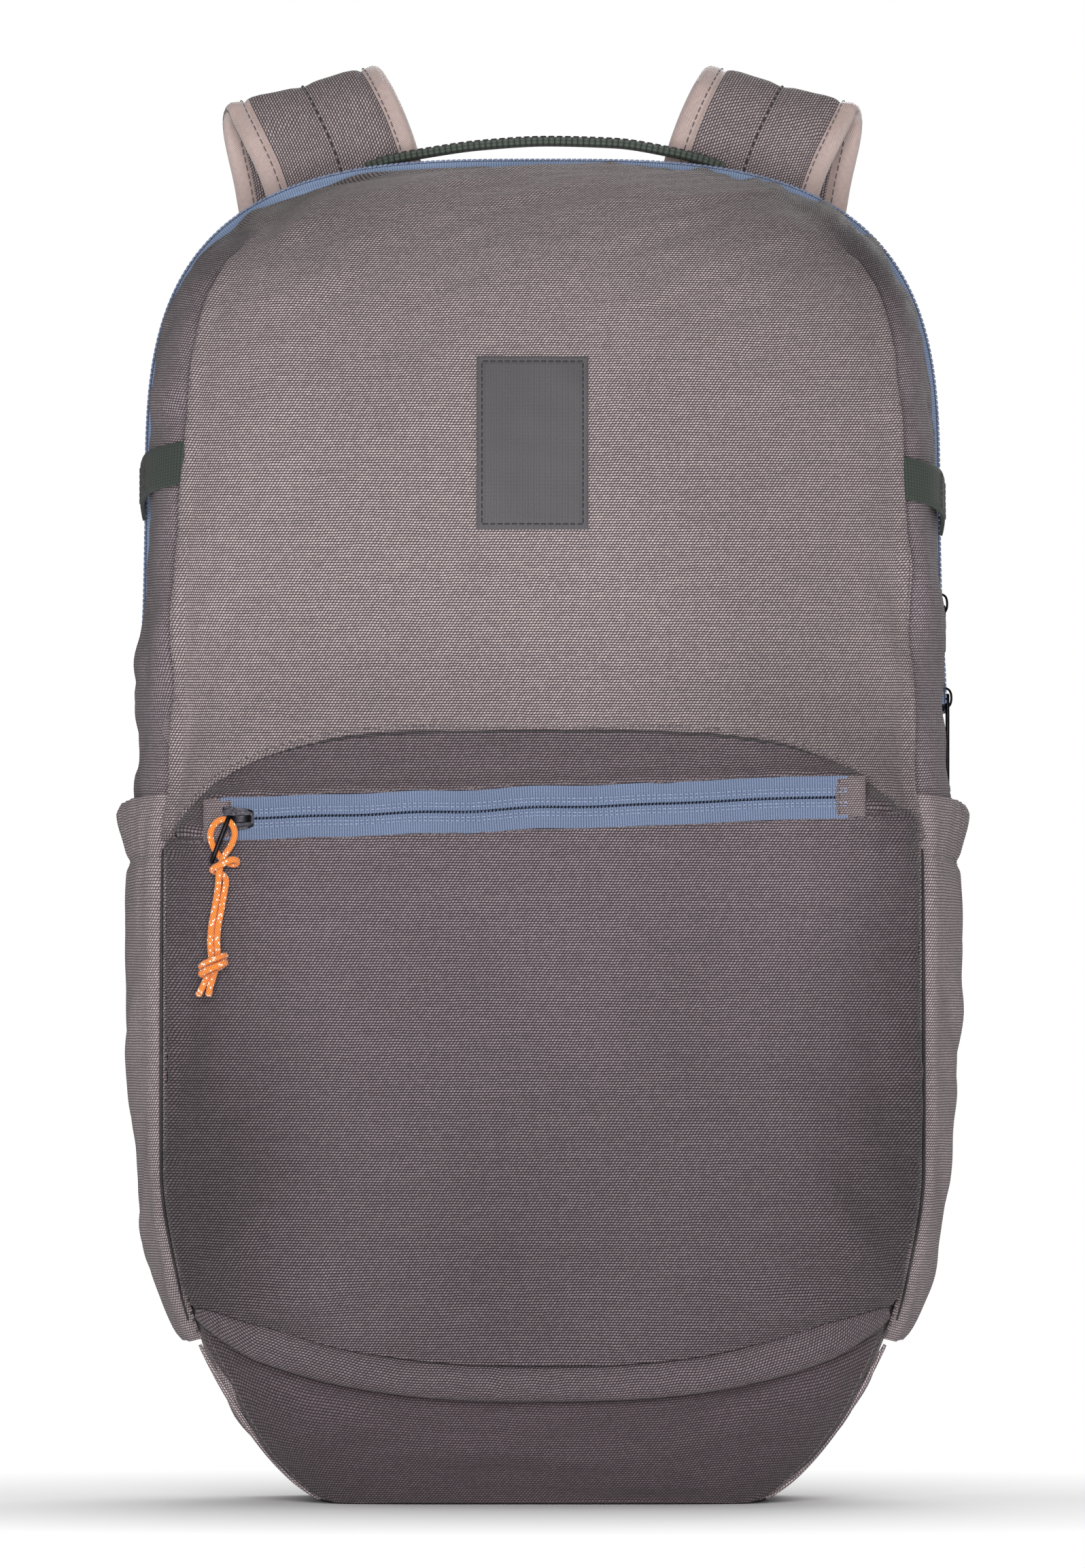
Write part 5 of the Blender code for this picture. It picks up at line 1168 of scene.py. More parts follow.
# ---- front pocket ------------------------------------------------------------------------------
def pocket_cloth():
    """Bulging front of the pocket, from the rolled seam up to the zip."""
    shares = np.sin(np.linspace(-math.pi / 2, math.pi / 2, 151))
    side = 0.72 * shares + 0.28 * np.linspace(-1, 1, 151)
    share = np.unique(np.concatenate([np.linspace(0, 1, 104), [0.988, 0.994, 0.003, 0.006]]))
    z = np.full((len(share), len(side)), 0.15)
    for _ in range(5):
        x = side[None] * (front_seam(z) - 0.0004)
        end = np.clip((ROLL_HALF_WIDTH - np.abs(x)) / 0.022, 0, 1) ** 0.6
        low = roll_height(x) + 0.001 + (ROLL_HALF_BAND - 0.0016) * end
        high = zip_height(x) - ZIP_HALF_BAND + 0.0012
        z = low + (high - low) * share[:, None]
    grid = np.stack([x, pocket_y(x, z), z], -1)
    to_seam = edge_distance(grid, 1)
    below = high - z
    rise = 0.0012 * ripple(x, z, 0.085, 71) + 0.00045 * ripple(x, z, 0.03, 72)
    rise *= ease(to_seam, 0.0, 0.02) * ease(below, 0.0, 0.02)
    gathers = np.sin(2 * math.pi * (x / 0.015 + 0.8 * ripple(x, z * 0.2, 0.05, 73)))
    rise += 0.00045 * gathers * hill(below - 0.01, 0.011)
    puckers = np.sin(2 * math.pi * (z / 0.0135 + 0.7 * ripple(z, x * 0.2, 0.05, 74)))
    rise += 0.0005 * puckers * hill(to_seam - 0.008, 0.008)
    rise += 0.001 * hill(below - 0.0035, 0.0022) - 0.001 * hill(below, 0.0012)
    rise += -0.0016 * hill(to_seam, 0.0026) + 0.0008 * hill(to_seam - 0.006, 0.0035)
    rise -= 0.0012 * hill(z - low, 0.0035)
    rise += folds(x, z, POCKET_CREASES)
    grid = grid + normals_of(grid) * rise[..., None]
    sheet = Build()
    sheet.slab(grid, CLOTH, 0, 1, cloth_map(x, z))
    out = normals_of(grid)
    row = int(np.argmin(np.abs(below[:, 75] - 0.0026)))
    sheet.stitches(grid[row, 6:-6], out[row, 6:-6], 2, radius=0.00024)
    piece = sheet.done("pocket_cloth", ["pocket", "lining", "thread"], "root",
                       ["front_pocket"])
    # Painted shade and light: darker towards the pocket's sides and its lower part, with a painted
    # highlight band under the zip; the ripple adds random tone.
    paint_shade(piece, 0.06 + 0.26 * ease(np.abs(x), 0.07, 0.128) + 0.2 * ease(below, 0.035, 0.15)
           - 0.1 * hill(below - 0.022, 0.02) + 0.06 * ripple(x, z, 0.11, 75))


# Start, end (x, z), width and height of the front pocket's folds.
POCKET_CREASES = [
    ((-0.128, 0.075), (-0.085, 0.118), 0.007, 0.0022), ((-0.118, 0.062), (-0.06, 0.082), 0.006, 0.0016),
    ((0.126, 0.072), (0.09, 0.128), 0.007, 0.0024), ((0.132, 0.11), (0.112, 0.19), 0.007, -0.002),
    ((0.12, 0.064), (0.06, 0.078), 0.006, 0.0016), ((-0.134, 0.13), (-0.118, 0.215), 0.007, -0.0018),
    ((-0.095, 0.236), (-0.07, 0.19), 0.01, -0.0012), ((0.085, 0.238), (0.06, 0.2), 0.01, -0.0012),
    ((-0.06, 0.06), (0.06, 0.058), 0.008, -0.0012),
]


def arch_cloth():
    """Panel between the front zip and the arched seam, with its edge tucked under the flap's cloth."""
    x = np.linspace(-0.1308, 0.1288, 160)
    share = np.linspace(0, 1, 20)[:, None]
    past_tab = ease(x - ZIP_RIGHT, 0.0065, 0.0095) + ease(ZIP_LEFT - x, 0.0065, 0.0095)
    wavy = 0.0007 * ripple(x, x * 0, 0.022, 83) * (1 - past_tab)
    low = zip_height(x) + (ZIP_HALF_BAND - 0.0012) * (1 - 2 * past_tab) + wavy
    high = np.maximum(arch_height(x) + 0.0012, low + 0.0006)
    z = low + (high - low) * share
    width = np.broadcast_to(x, z.shape)
    near = pocket_y(width, np.minimum(z, 0.262))
    far = front_y(width, z) - 0.0004
    y = near + (far - near) * share ** 1.25
    rise = 0.0006 * ripple(width, z, 0.04, 81) * np.sin(math.pi * share)
    gathers = np.sin(2 * math.pi * (width / 0.017 + 0.6 * ripple(width, z * 0.2, 0.05, 82)))
    rise += 0.0004 * gathers * hill(z - low - 0.006, 0.006)
    rise += 0.0014 * hill(z - low - 0.003, 0.0024) - 0.0009 * hill(z - low, 0.001)
    grid = np.stack([width, y, z], -1)
    grid = grid + normals_of(grid) * rise[..., None]
    sheet = Build()
    sheet.slab(grid, CLOTH, 0, 1, cloth_map(width, z))
    out = normals_of(grid)
    row = int(np.argmin(np.abs((z - low)[:, 75] - 0.0026)))
    sheet.stitches(grid[row, 8:-8], out[row, 8:-8], 2, radius=0.00024)
    sheet.done("arch_cloth", ["arch", "lining", "thread"], "root",
               ["pocket_top_panel"])


def pocket_lining():
    """Inner wall behind the front pocket."""
    share = np.linspace(0, 1, 40)[:, None]
    side = np.linspace(-1, 1, 61)
    low = roll_height(side * ROLL_HALF_WIDTH) - 0.001 - 0.002 * np.abs(side) ** 3
    z = low + (0.281 - low) * share
    edge = section_angle(front_seam(z), z) + 0.004
    grid = shell(-(math.pi / 2 - (math.pi / 2 - edge) * np.abs(side)), z)
    grid[..., 0] *= np.where(side < 0, -1.0, 1.0)
    grid = grid - normals_of(grid) * 0.0034
    sheet = Build()
    sheet.slab(grid, 0.0008, 0, 0)
    sheet.done("pocket_lining", ["lining"], "root", ["pocket_inner_wall"])


def seam_lines():
    """Painted seam shadows: thin dark ropes laid in the grooves at the front pocket's sides and under
    the arched seam.
    """
    seams = Build()
    z = np.linspace(0.066, 0.235, 150)
    taper = np.sin(np.linspace(0.1, math.pi - 0.1, 150)) ** 0.25
    for flip in (1.0, -1.0):
        x = front_seam(z) + 0.0003
        seams.rope(np.stack([flip * x, front_y(x, z) + 0.0001, z], -1), 0.0007 * taper, sides=8)
    x = np.linspace(-0.1285, 0.1285, 220)
    z = arch_height(x) - 0.0002
    seams.rope(np.stack([x, front_y(x, z) - 0.0009, z], -1), 0.0006, sides=8)
    seams.done("front_seam_painted_shadows", ["groove"], "root")


def bottom_roll():
    """Rolled seam where the front pocket meets the base."""
    x = np.linspace(-ROLL_HALF_WIDTH + 0.0005, ROLL_HALF_WIDTH - 0.0005, 170)
    z = roll_height(x)
    end = np.clip((ROLL_HALF_WIDTH - np.abs(x)) / 0.022, 0, 1) ** 0.6
    path = np.stack([x, front_y(x, z) - 0.004, z], -1)
    corners = 28
    turn = np.linspace(0, 2 * math.pi, corners, endpoint=False)[None]
    aside, raised = circle(corners)
    tall = (0.0022 + 0.0048 * end)[:, None]
    thick = (0.0022 + 0.0026 * end)[:, None] * np.where(raised > 0, 1.0, 0.8)[None]
    uneven = (1 + 0.1 * ripple(x[:, None], 0.01 * turn, 0.045, 91)
              + 0.05 * ripple(x[:, None], 0.006 * turn, 0.016, 92))
    section = np.stack([tall * aside * np.ones_like(uneven), thick * raised * uneven], -1)
    roll = Build()
    roll.sweep(path, UPWARD, section)
    roll.done("pocket_roll", ["arch"], "root", ["pocket_bottom_roll"])


ZIP_STITCH_PITCH, ZIP_STITCH = 0.0019, 0.0013


def front_zip():
    """Two tapes with raised coil beds and thread rows, the teeth, and a tab over each end."""
    x = np.linspace(ZIP_LEFT - 0.004, ZIP_RIGHT + 0.004, 160)
    sag = 0.00035 * ripple(x, x * 0, 0.045, 101)
    line = np.stack([x, np.full_like(x, ZIP_FRONT_Y) - 0.0002, zip_height(x) + sag], -1)
    bed = [(0.0076, -0.0008), (0.0076, 0.0), (0.0052, 0.0002), (0.0042, 0.0004), (0.0034, 0.0012),
           (0.0024, 0.0016), (0.0014, 0.0015), (0.0007, 0.0008), (0.0005, -0.0004), (0.0005, -0.001)]
    for name, flip in (("upper", 1), ("lower", -1)):
        tape = Build()
        section = [(a * flip, b) for a, b in bed][::flip]
        tape.sweep(line, UPWARD, section, [0 if abs(a) > 0.0036 or b < 0 else 1 for a, b in section])
        for offset, height, size in ((0.0019, 0.0017, 0.00028), (0.0031, 0.0014, 0.00024)):
            row = line + np.array([0.0, -height + 0.0001, offset * flip])
            tape.stitches(row, (0.0, -1.0, 0.0), 2, ZIP_STITCH_PITCH, ZIP_STITCH, size)
        tape.done("front_zip_tape_" + name, ["tape", "coil", "blue_thread"], "root",
                  ["front_zip_" + name + "_tape"])
    teeth = Build()
    for place in np.arange(ZIP_LEFT, ZIP_RIGHT, 0.0013):
        centre = np.array([place, ZIP_FRONT_Y - 0.0003, float(zip_height(place))])
        teeth.tooth(centre, np.array([0.00025, 0.0, 0.0013]), 0.0004)
    teeth.done("front_zip_coil", ["coil"], "root")
    for name, start, end in (("left", ZIP_LEFT - 0.0004 - TAB_WIDTH, ZIP_LEFT + 0.0004),
                             ("right", ZIP_RIGHT - 0.0004, ZIP_RIGHT + 0.0004 + TAB_WIDTH)):
        width = np.linspace(start, end, 24)[None]
        tall = np.linspace(-1, 1, 28)[:, None] * (ZIP_HALF_BAND + 0.0006)
        z = zip_height(width) + tall
        wide = np.broadcast_to(width, z.shape)
        y = pocket_y(wide, z) - 0.0013 - 0.0006 * hill(tall, 0.004)
        y = y + 0.0002 * ripple(wide, z, 0.008, 103)
        grid = np.stack([wide, y, z], -1)
        grid[..., 1] += 0.0007 * hill(rim_distance(grid), 0.0007)
        tab = Build()
        tab.slab(grid, 0.0012, 0, 0)
        out = normals_of(grid)
        column = 20 if name == "left" else 3
        tab.stitches(grid[2:-2, column], out[2:-2, column], 1, 0.0026, 0.0019, 0.00022)
        tab.done("front_zip_tab_cloth_" + name, ["tab", "dark_thread"], "root",
                 ["front_zip_tab_" + name])


def slider(build, origin, along, out, look=0):
    """Zip slider: two plates that narrow to the tail, side flanges, and a bridge for the pull."""
    along, out = unit(np.array(along, float)), unit(np.array(out, float))
    across = np.cross(out, along)
    origin = np.array(origin, float)
    reach = np.array([-0.0058, -0.0054, -0.004, -0.0015, 0.001, 0.0034, 0.0048, 0.0052])
    wide = np.array([0.0022, 0.003, 0.0034, 0.0036, 0.0042, 0.0047, 0.0045, 0.0034])
    aside, raised = circle(16)
    aside, raised = fuller(aside, 0.5), fuller(raised, 0.6)
    for low, high in ((0.0001, 0.0012), (-0.0022, -0.0013)):
        path = origin + reach[:, None] * along + out * (low + high) / 2
        tall = (high - low) / 2 * np.repeat(raised[None], len(reach), 0)
        build.sweep(path, across, np.stack([wide[:, None] * aside, tall], -1), look)
    for flip in (1, -1):
        rail = origin + np.linspace(-0.0038, 0.0046, 9)[:, None] * along
        rail = rail + across * flip * np.linspace(0.0031, 0.0043, 9)[:, None] - out * 0.0002
        flange = [(0.0004, 0.001), (-0.0004, 0.001), (-0.0004, -0.0014), (0.0004, -0.0014)]
        build.sweep(rail, across, flange, look)
    arch = [(-0.0046, 0.0008), (-0.0046, 0.0022), (-0.0036, 0.0034), (-0.0014, 0.0038), (0.001, 0.0036),
            (0.0024, 0.0026), (0.0027, 0.0009)]
    bridge = np.array([origin + along * a + out * b for a, b in arch])
    bridge = smoothed(resampled(bridge, 0.0006), 3)
    flat = [(0.0011, 0.0004), (-0.0011, 0.0004), (-0.0013, 0.0), (-0.0011, -0.0004),
            (0.0011, -0.0004), (0.0013, 0.0)]
    build.sweep(bridge, across, flat, look)


def wire_pull(build, top, lean, across, length, half, radius=0.00085):
    """Wire loop: narrow where it hangs in the slider, wider at its free end."""
    lean, across = unit(np.array(lean, float)), unit(np.array(across, float))
    turn = np.linspace(0, 2 * math.pi, 72, endpoint=False)
    down = length / 2 * (1 - np.cos(turn))
    wide = half * fuller(np.sin(turn), 0.55) * (0.85 + 0.15 * (1 - np.cos(turn)) / 2)
    path = np.array(top, float) + lean * down[:, None] + across * wide[:, None]
    build.ring(path, np.cross(lean, across), radius, sides=12)


def front_slider():
    """Slider and wire pull of the front zip, closed at the left."""
    place = -0.109
    body = Build()
    slider(body, (place, ZIP_FRONT_Y - 0.0016, float(zip_height(place))), (-1.0, 0.0, -ZIP_TILT),
           (0.0, -1.0, 0.0))
    body.done("front_zip_slider_body", ["metal"], "front_slider", ["front_slider"])
    pull = Build()
    wire_pull(pull, WIRE_TOP, WIRE_LEAN, (0.0, -1.0, 0.0), WIRE_LENGTH, 0.0027)
    pull.done("front_zip_wire_pull", ["metal"], "front_pull", ["front_pull_loop"])


# ---- main zip ----------------------------------------------------------------------------------
def zip_outline(count, start, inset=0.0):
    """Outline in the zip's plane from the right side at a height, over the top, to the left side."""
    straight = round(count * 0.35)
    z = np.linspace(start, ARCH_START, straight, endpoint=False)
    angle = np.linspace(0, math.pi / 2, count - straight)
    c, s = np.maximum(np.cos(angle), 0), np.sin(angle)
    k = (c ** ARCH_POWER + s ** ARCH_POWER) ** (-1 / ARCH_POWER)
    x = np.concatenate([half_width(z), ARCH_HALF_WIDTH * c * k])
    z = np.concatenate([z, ARCH_START + (HEIGHT - ARCH_START) * s * k])
    right = np.stack([x, np.full_like(x, ZIP_Y), z], -1)
    line = resampled(np.concatenate([right, mirrored(right[:-1])[::-1]]), 0.0022)
    along = directions(line)
    out = np.cross((0.0, 1.0, 0.0), along)
    return line - out * inset, out


def main_zip():
    """Both tapes of the main zip with raised coil beds, thread rows and teeth."""
    bed = [(0.0086, -0.0044), (0.0082, -0.0033), (0.0064, -0.0021), (0.005, -0.0014), (0.0042, -0.0005),
           (0.003, 0.0001), (0.0016, 0.0001), (0.0008, -0.0006), (0.0005, -0.0018), (0.0005, -0.0026),
           (0.004, -0.003)]
    for name, flip, start, body in (("front", -1, FRONT_TAPE_START, FLAP_BEND),
                                    ("rear", 1, REAR_TAPE_START, "root")):
        line, out = zip_outline(220, start)
        tape = Build()
        section = [(a * flip, b) for a, b in bed][::-flip]
        on_bed = [1 if 0.0006 < abs(a) < 0.0043 and b > -0.001 else 0 for a, b in section]
        tape.sweep(line, REARWARD, section, on_bed)
        for offset, height in ((0.0022, 0.0001), (0.0036, -0.0002)):
            row = line + out * (height + 0.0002) + np.array([0.0, offset * flip, 0.0])
            tape.stitches(row, out, 2, ZIP_STITCH_PITCH, ZIP_STITCH, 0.00026)
        tape.done("main_zip_" + name, ["main_tape", "coil", "blue_thread"], body,
                  ["main_zip_" + name + "_tape"])
    line = resampled(zip_outline(220, REAR_TAPE_START)[0], 0.0014)
    teeth = Build()
    for point, along in zip(line, directions(line)):
        centre = point - np.cross(REARWARD, along) * 0.0011
        teeth.tooth(centre, np.array([0.0, 0.0015, 0.0]), 0.00042)
    teeth.done("main_zip_coil", ["coil"], "root")


def main_sliders():
    """Both sliders and wire pulls of the main zip, parked at the right, tail to tail."""
    for name, flip in (("lower", 1.0), ("upper", -1.0)):
        low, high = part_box("main_slider_" + name)
        middle = (low.z + high.z) / 2
        inside = float(half_width(middle)) - 0.0016
        body = Build()
        slider(body, (inside + 0.0002, ZIP_Y, middle), (0.0, 0.0, flip), ACROSS)
        body.done("main_zip_slider_" + name, ["metal"], "main_slider_" + name,
                  ["main_slider_" + name])
        low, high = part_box("main_pull_" + name)
        pull = Build()
        x = (low.x + high.x) / 2 - 0.0014
        length = high.z - low.z - 0.0018
        wire_pull(pull, (x, ZIP_Y, high.z - 0.0009), (0.0, 0.0, -1.0), REARWARD, length, 0.003, 0.0007)
        pull.done("main_zip_wire_pull_" + name, ["metal"], "main_pull_" + name,
                  ["main_pull_" + name])


# ---- trim on the flap --------------------------------------------------------------------------
PATCH_X, PATCH_Z = (-0.0236, 0.0164), (0.349, 0.411)


def patch():
    """Blank woven label with a folded edge, sewn on all round."""
    x = np.linspace(*PATCH_X, 64)[None]
    z = np.linspace(*PATCH_Z, 96)[:, None]
    wide, tall = np.broadcast_arrays(x, z)
    face = np.stack([wide, front_y(wide, tall), tall], -1)
    rim = rim_distance(face)
    rise = 0.0016 - 0.0007 * hill(rim, 0.0006) - 0.0004 * hill(rim - 0.002, 0.0006)
    rise += 0.00015 * ripple(wide, tall, 0.016, 111)
    grid = face + normals_of(face) * rise[..., None]
    label = Build()
    label.slab(grid, 0.0013, 0, 0)
    out = normals_of(grid)
    inner = slice(3, -3)
    for rows, columns in ((inner, 3), (inner, -4), (3, inner), (-4, inner)):
        label.stitches(grid[rows, columns], out[rows, columns], 1, 0.0026, 0.0019, 0.00036)
    label.done("label_patch", ["patch", "groove"], "flap", ["patch"])


def lash_webbing():
    """Green webbing sewn across each flap gusset, with two bars of stitches."""
    for name, flip, front in (("left", -1.0, 0.3735), ("right", 1.0, 0.368)):
        first = float(section_angle(front_seam(front), front)) + 0.02
        share = np.linspace(0, 1, 90)[None]
        level = np.linspace(-0.0077, 0.0077, 14)[:, None]
        turn = -(first * (1 - share) + 0.062 * share) * np.ones_like(level)
        z = front - 0.0125 * share + level
        face = shell(turn, z)
        rim = edge_distance(face, 0)
        rise = 0.0014 + 0.0004 * np.sin(math.pi * share) - 0.0004 * hill(rim, 0.0007)
        rise = rise - 0.0012 * hill(arc(face, 1), 0.0025)
        grid = handed(face + normals_of(face) * rise[..., None], flip)
        strap = Build()
        strap.slab(grid, 0.0013, 0, 0)
        out = normals_of(grid)
        for column in (30, 33, -34, -31):
            strap.stitches(grid[1:-1, column], out[1:-1, column], 1, 0.0022, 0.0017, 0.00026)
        strap.done("lash_strap_" + name, ["green", "dark_thread"], "flap",
                   ["lash_webbing_" + name])


# ---- back of the body --------------------------------------------------------------------------
def rear_gusset():
    """Band of cloth from the main zip's rear tape over the top to the back panel."""
    line, _ = zip_outline(260, LID_AXIS_Z)
    whole = BACK_Y - ZIP_Y
    depths = np.concatenate([np.linspace(whole - 0.0004, 0.016, 22),
                             np.linspace(0.0145, MAIN_TAPE + 0.0008, 10)])
    inset = np.cross(REARWARD, directions(line)) * REAR_INSET
    grid = np.array([line - inset * (d / whole) ** 2 + np.array([0.0, d, 0.0]) for d in depths])
    walked = arc(grid, 1)
    deep = np.broadcast_to(depths[:, None], walked.shape)
    to_tape, to_panel = deep - MAIN_TAPE, whole - deep
    rise = -0.003 * hill(to_tape, 0.0045) + 0.0005 * hill(to_tape - 0.0085, 0.003)
    rise -= 0.0016 * hill(to_panel, 0.003)
    rise += 0.00096 * ripple(walked, deep * 1.5, 0.055, 121) + 0.0004 * ripple(walked, deep, 0.022, 122)
    grid = grid + normals_of(grid) * (rise - 0.0006)[..., None]
    band = Build()
    band.slab(grid, CLOTH, 0, 1)
    out = normals_of(grid)
    band.stitches(grid[-3], out[-3], 2, radius=0.00025)
    band.done("rear_gusset_cloth", ["gusset", "lining", "thread"], "root",
              ["rear_gusset"])


def back_panel():
    """Flat back panel with piping round its edge."""
    line, _ = zip_outline(260, 0.0505, REAR_INSET + 0.0006)
    half = line[:len(line) // 2]
    chords = np.concatenate([half[::2], half[-1:]])
    side = np.linspace(1, -1, 70)[None]
    x, z = chords[:, :1] * side, chords[:, 2:] * np.ones_like(side)
    grid = np.stack([x, BACK_Y + 0.002 + 0.0004 * ripple(x, z, 0.05, 131), z], -1)
    panel = Build()
    panel.slab(grid, 0.0014, 0, 1, cloth_map(x, z))
    panel.done("back_panel_cloth", ["side", "lining"], "root", ["back_panel"])
    edge = line + np.array([0.0, BACK_Y + 0.0016 - ZIP_Y, 0.0])
    foot = np.stack([np.linspace(edge[-1, 0], edge[0, 0], 60), np.full(60, edge[0, 1]),
                     np.full(60, edge[0, 2])], -1)
    piping = Build()
    piping.ring(smoothed(np.concatenate([edge, foot[1:-1]])), REARWARD, 0.002)
    piping.done("back_panel_piping", ["binding"], "root")


def pad_shell(low, high, crown):
    """Closed pad with a flat back and a crowned face, as a coarse mesh."""
    made = bpy.data.meshes.new("pad")
    build = Build()
    u = np.linspace(1, -1, 22)[None]
    v = np.linspace(-1, 1, 46)[:, None]
    rise = (1 - np.abs(u) ** 5) ** 0.5 * (1 - np.abs(v) ** 8) ** 0.5
    middle, half = (low + high) / 2, (high - low) / 2
    x, z = middle[0] + half[0] * u + 0 * v, middle[2] + half[2] * v + 0 * u
    face = np.stack([x, low[1] + 0.0022 + (crown - 0.0022) * rise, z], -1)
    back = np.stack([x, np.full_like(x, low[1]), z], -1)
    build.slab(face, 0, back=back)
    made.from_pydata(np.concatenate(build.points).tolist(), [], build.faces)
    return made


def inflated(mesh, cap, frames=16):
    """The mesh, swollen by cloth pressure; no point moves further than the cap."""
    made = bpy.data.objects.new("pad", mesh)
    bpy.context.collection.objects.link(made)
    remesh = made.modifiers.new("even", "REMESH")
    remesh.mode, remesh.voxel_size = "VOXEL", 0.0042
    settle(made)
    before = points_of(made.data)
    cloth = made.modifiers.new("cloth", "CLOTH")
    cloth.settings.use_pressure = True
    cloth.settings.uniform_pressure_force = 4.0
    cloth.settings.effector_weights.gravity = 0.0
    cloth.settings.quality = 6
    for step in range(1, frames + 1):
        bpy.context.scene.frame_set(step)
    settle(made)
    bpy.context.scene.frame_set(1)
    after = points_of(made.data)
    moved = after - before
    distance = np.linalg.norm(moved, axis=1, keepdims=True)
    after = before + moved * np.minimum(1.0, cap / (distance + 1e-12))
    made.data.vertices.foreach_set("co", after.ravel())
    finer = made.modifiers.new("finer", "SUBSURF")
    finer.levels = 1
    settle(made)
    return made


def settle(thing):
    """Applies every modifier of an object."""
    bpy.context.view_layer.update()
    result = thing.evaluated_get(bpy.context.evaluated_depsgraph_get())
    mesh = bpy.data.meshes.new_from_object(result)
    thing.modifiers.clear()
    thing.data = mesh


def points_of(mesh):
    """Places of a mesh's points, one row each."""
    flat = np.empty(len(mesh.vertices) * 3)
    mesh.vertices.foreach_get("co", flat)
    return flat.reshape(-1, 3)


PAD_MARGIN = 0.004            # from the edge of a pad's node to its foam
PAD_SWELL = 0.0035            # how far the cloth pressure may swell a pad
PAD_CORNER = 0.012


def foam_pad(name, node, thickness, channels, upright):
    """Mesh covered foam pad with sewn channels and a bound edge."""
    low, high = (np.array(corner[:], float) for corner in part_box(node))
    margin = np.array([PAD_MARGIN, 0.0, PAD_MARGIN])
    made = inflated(pad_shell(low + margin, high - margin, thickness - PAD_SWELL), PAD_SWELL)
    made.name = name
    points = points_of(made.data)
    x, z = points[:, 0], points[:, 2]
    height = np.clip((points[:, 1] - low[1]) / thickness, 0, 1)
    for place in channels:
        off = (z - place) if upright else (x - place)
        points[:, 1] -= 0.55 * thickness * ease(height, 0.2, 0.7) * hill(off, 0.0042)
    soft = ease(height, 0.2, 0.8)
    points[:, 1] += soft * 0.0006 * ripple(x, z, 0.03, 141)
    points[:, 1] = np.clip(points[:, 1], low[1] + 0.0001, low[1] + thickness)
    points[:, 0] = np.clip(x, low[0] + 0.001, high[0] - 0.001)
    made.data.vertices.foreach_set("co", points.ravel())
    cloth = made.data.attributes.new("cloth", "FLOAT_VECTOR", "POINT")
    cloth.data.foreach_set("vector", points[:, [0, 2, 1]].ravel())
    made.data.materials.clear()
    made.data.materials.append(LOOKS["mesh"])
    made.data.shade_smooth()
    attach(made, "root", [node])
    rim = Build()
    middle, reach = (low + high) / 2, (high - low) / 2 - 0.0028 - PAD_CORNER
    turn = np.linspace(0, 2 * math.pi, 49)[:-1] + math.pi / 48
    c, s = np.cos(turn), np.sin(turn)
    path = np.stack([middle[0] + np.sign(c) * reach[0] + PAD_CORNER * c, np.full(48, low[1] + 0.0016),
                     middle[2] + np.sign(s) * reach[2] + PAD_CORNER * s], -1)
    path = resampled(np.concatenate([path, path[:1]]), 0.003)[:-1]
    section = np.stack(circle(12), -1) * (0.0015, 0.0026)
    rim.sweep(path, REARWARD, section, closed=True)
    rim.done(name + "_binding", ["binding"], "root")


def back_padding():
    """Two tall pads beside the spine and one over the loins."""
    low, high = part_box("back_pad_right")
    steps = [low.z + (high.z - low.z) * share for share in (0.25, 0.5, 0.75)]
    for side, _ in SIDES:
        foam_pad("back_foam_" + side, "back_pad_" + side, 0.011, steps, True)
    foam_pad("lumbar_foam", "lumbar_pad", 0.014, (-0.036, 0.036), False)


def laptop_sleeve():
    """Sleeve inside the back panel, with a bound upper edge."""
    low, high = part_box("laptop_sleeve")
    x = np.linspace(-0.1118, 0.1118, 70)[None]
    z = np.linspace(low.z + 0.0002, high.z - 0.0006, 60)[:, None]
    wide, tall = np.broadcast_arrays(x, z)
    share = np.abs(wide / 0.112)
    y = BACK_Y - 0.018 + 0.013 * share ** 6 - 0.0008 * ripple(wide, tall, 0.08, 151) * (1 - share ** 3)
    grid = np.stack([wide, y, tall], -1)
    sleeve = Build()
    sleeve.slab(grid, 0.0012, 0, 0, back=grid + np.array([0.0, 0.0012, 0.0]))
    sleeve.done("sleeve_cloth", ["lining"], "root", ["laptop_sleeve"])
    edge = Build()
    path = np.stack([wide[0], y[-1] + 0.0006, np.full(70, high.z - 0.003)], -1)
    edge.sweep(path, UPWARD, [(0.004, 0.0), (0.0034, 0.0012), (-0.004, 0.0011), (-0.0044, 0.0004),
                              (-0.0044, -0.0004), (-0.004, -0.0011), (0.0034, -0.0012)])
    edge.done("sleeve_binding", ["tape"], "root")


# ---- straps and handle -------------------------------------------------------------------------
HANDLE_Y = 0.075
HANDLE_ROUTE = [(-0.064, 0.4825), (-0.056, 0.485), (-0.042, 0.4876), (-0.022, 0.4904), (0.002, 0.4918),
                (0.026, 0.4911), (0.045, 0.4882), (0.058, 0.4852), (0.066, 0.4825)]


def haul_handle():
    """Bowed webbing handle with a row of stitches along each edge."""
    path = curve_through([(x, HANDLE_Y, z) for x, z in HANDLE_ROUTE], 140)
    handle = Build()
    half = [(0.0095, 0.0), (0.0092, 0.001), (0.0078, 0.0016), (0.003, 0.0017), (-0.003, 0.0017),
            (-0.0078, 0.0016), (-0.0092, 0.001)]
    section = half + [(-a, -b) for a, b in half]
    handle.sweep(path, REARWARD, section)
    for side in (-0.0074, 0.0074):
        handle.stitches(path[8:-8] + np.array([0.0, side, 0.0017]), UPWARD, 1, 0.003, 0.0022, 0.00026)
    handle.done("handle_webbing", ["handle", "dark_thread"], "haul_handle",
                ["haul_handle"])


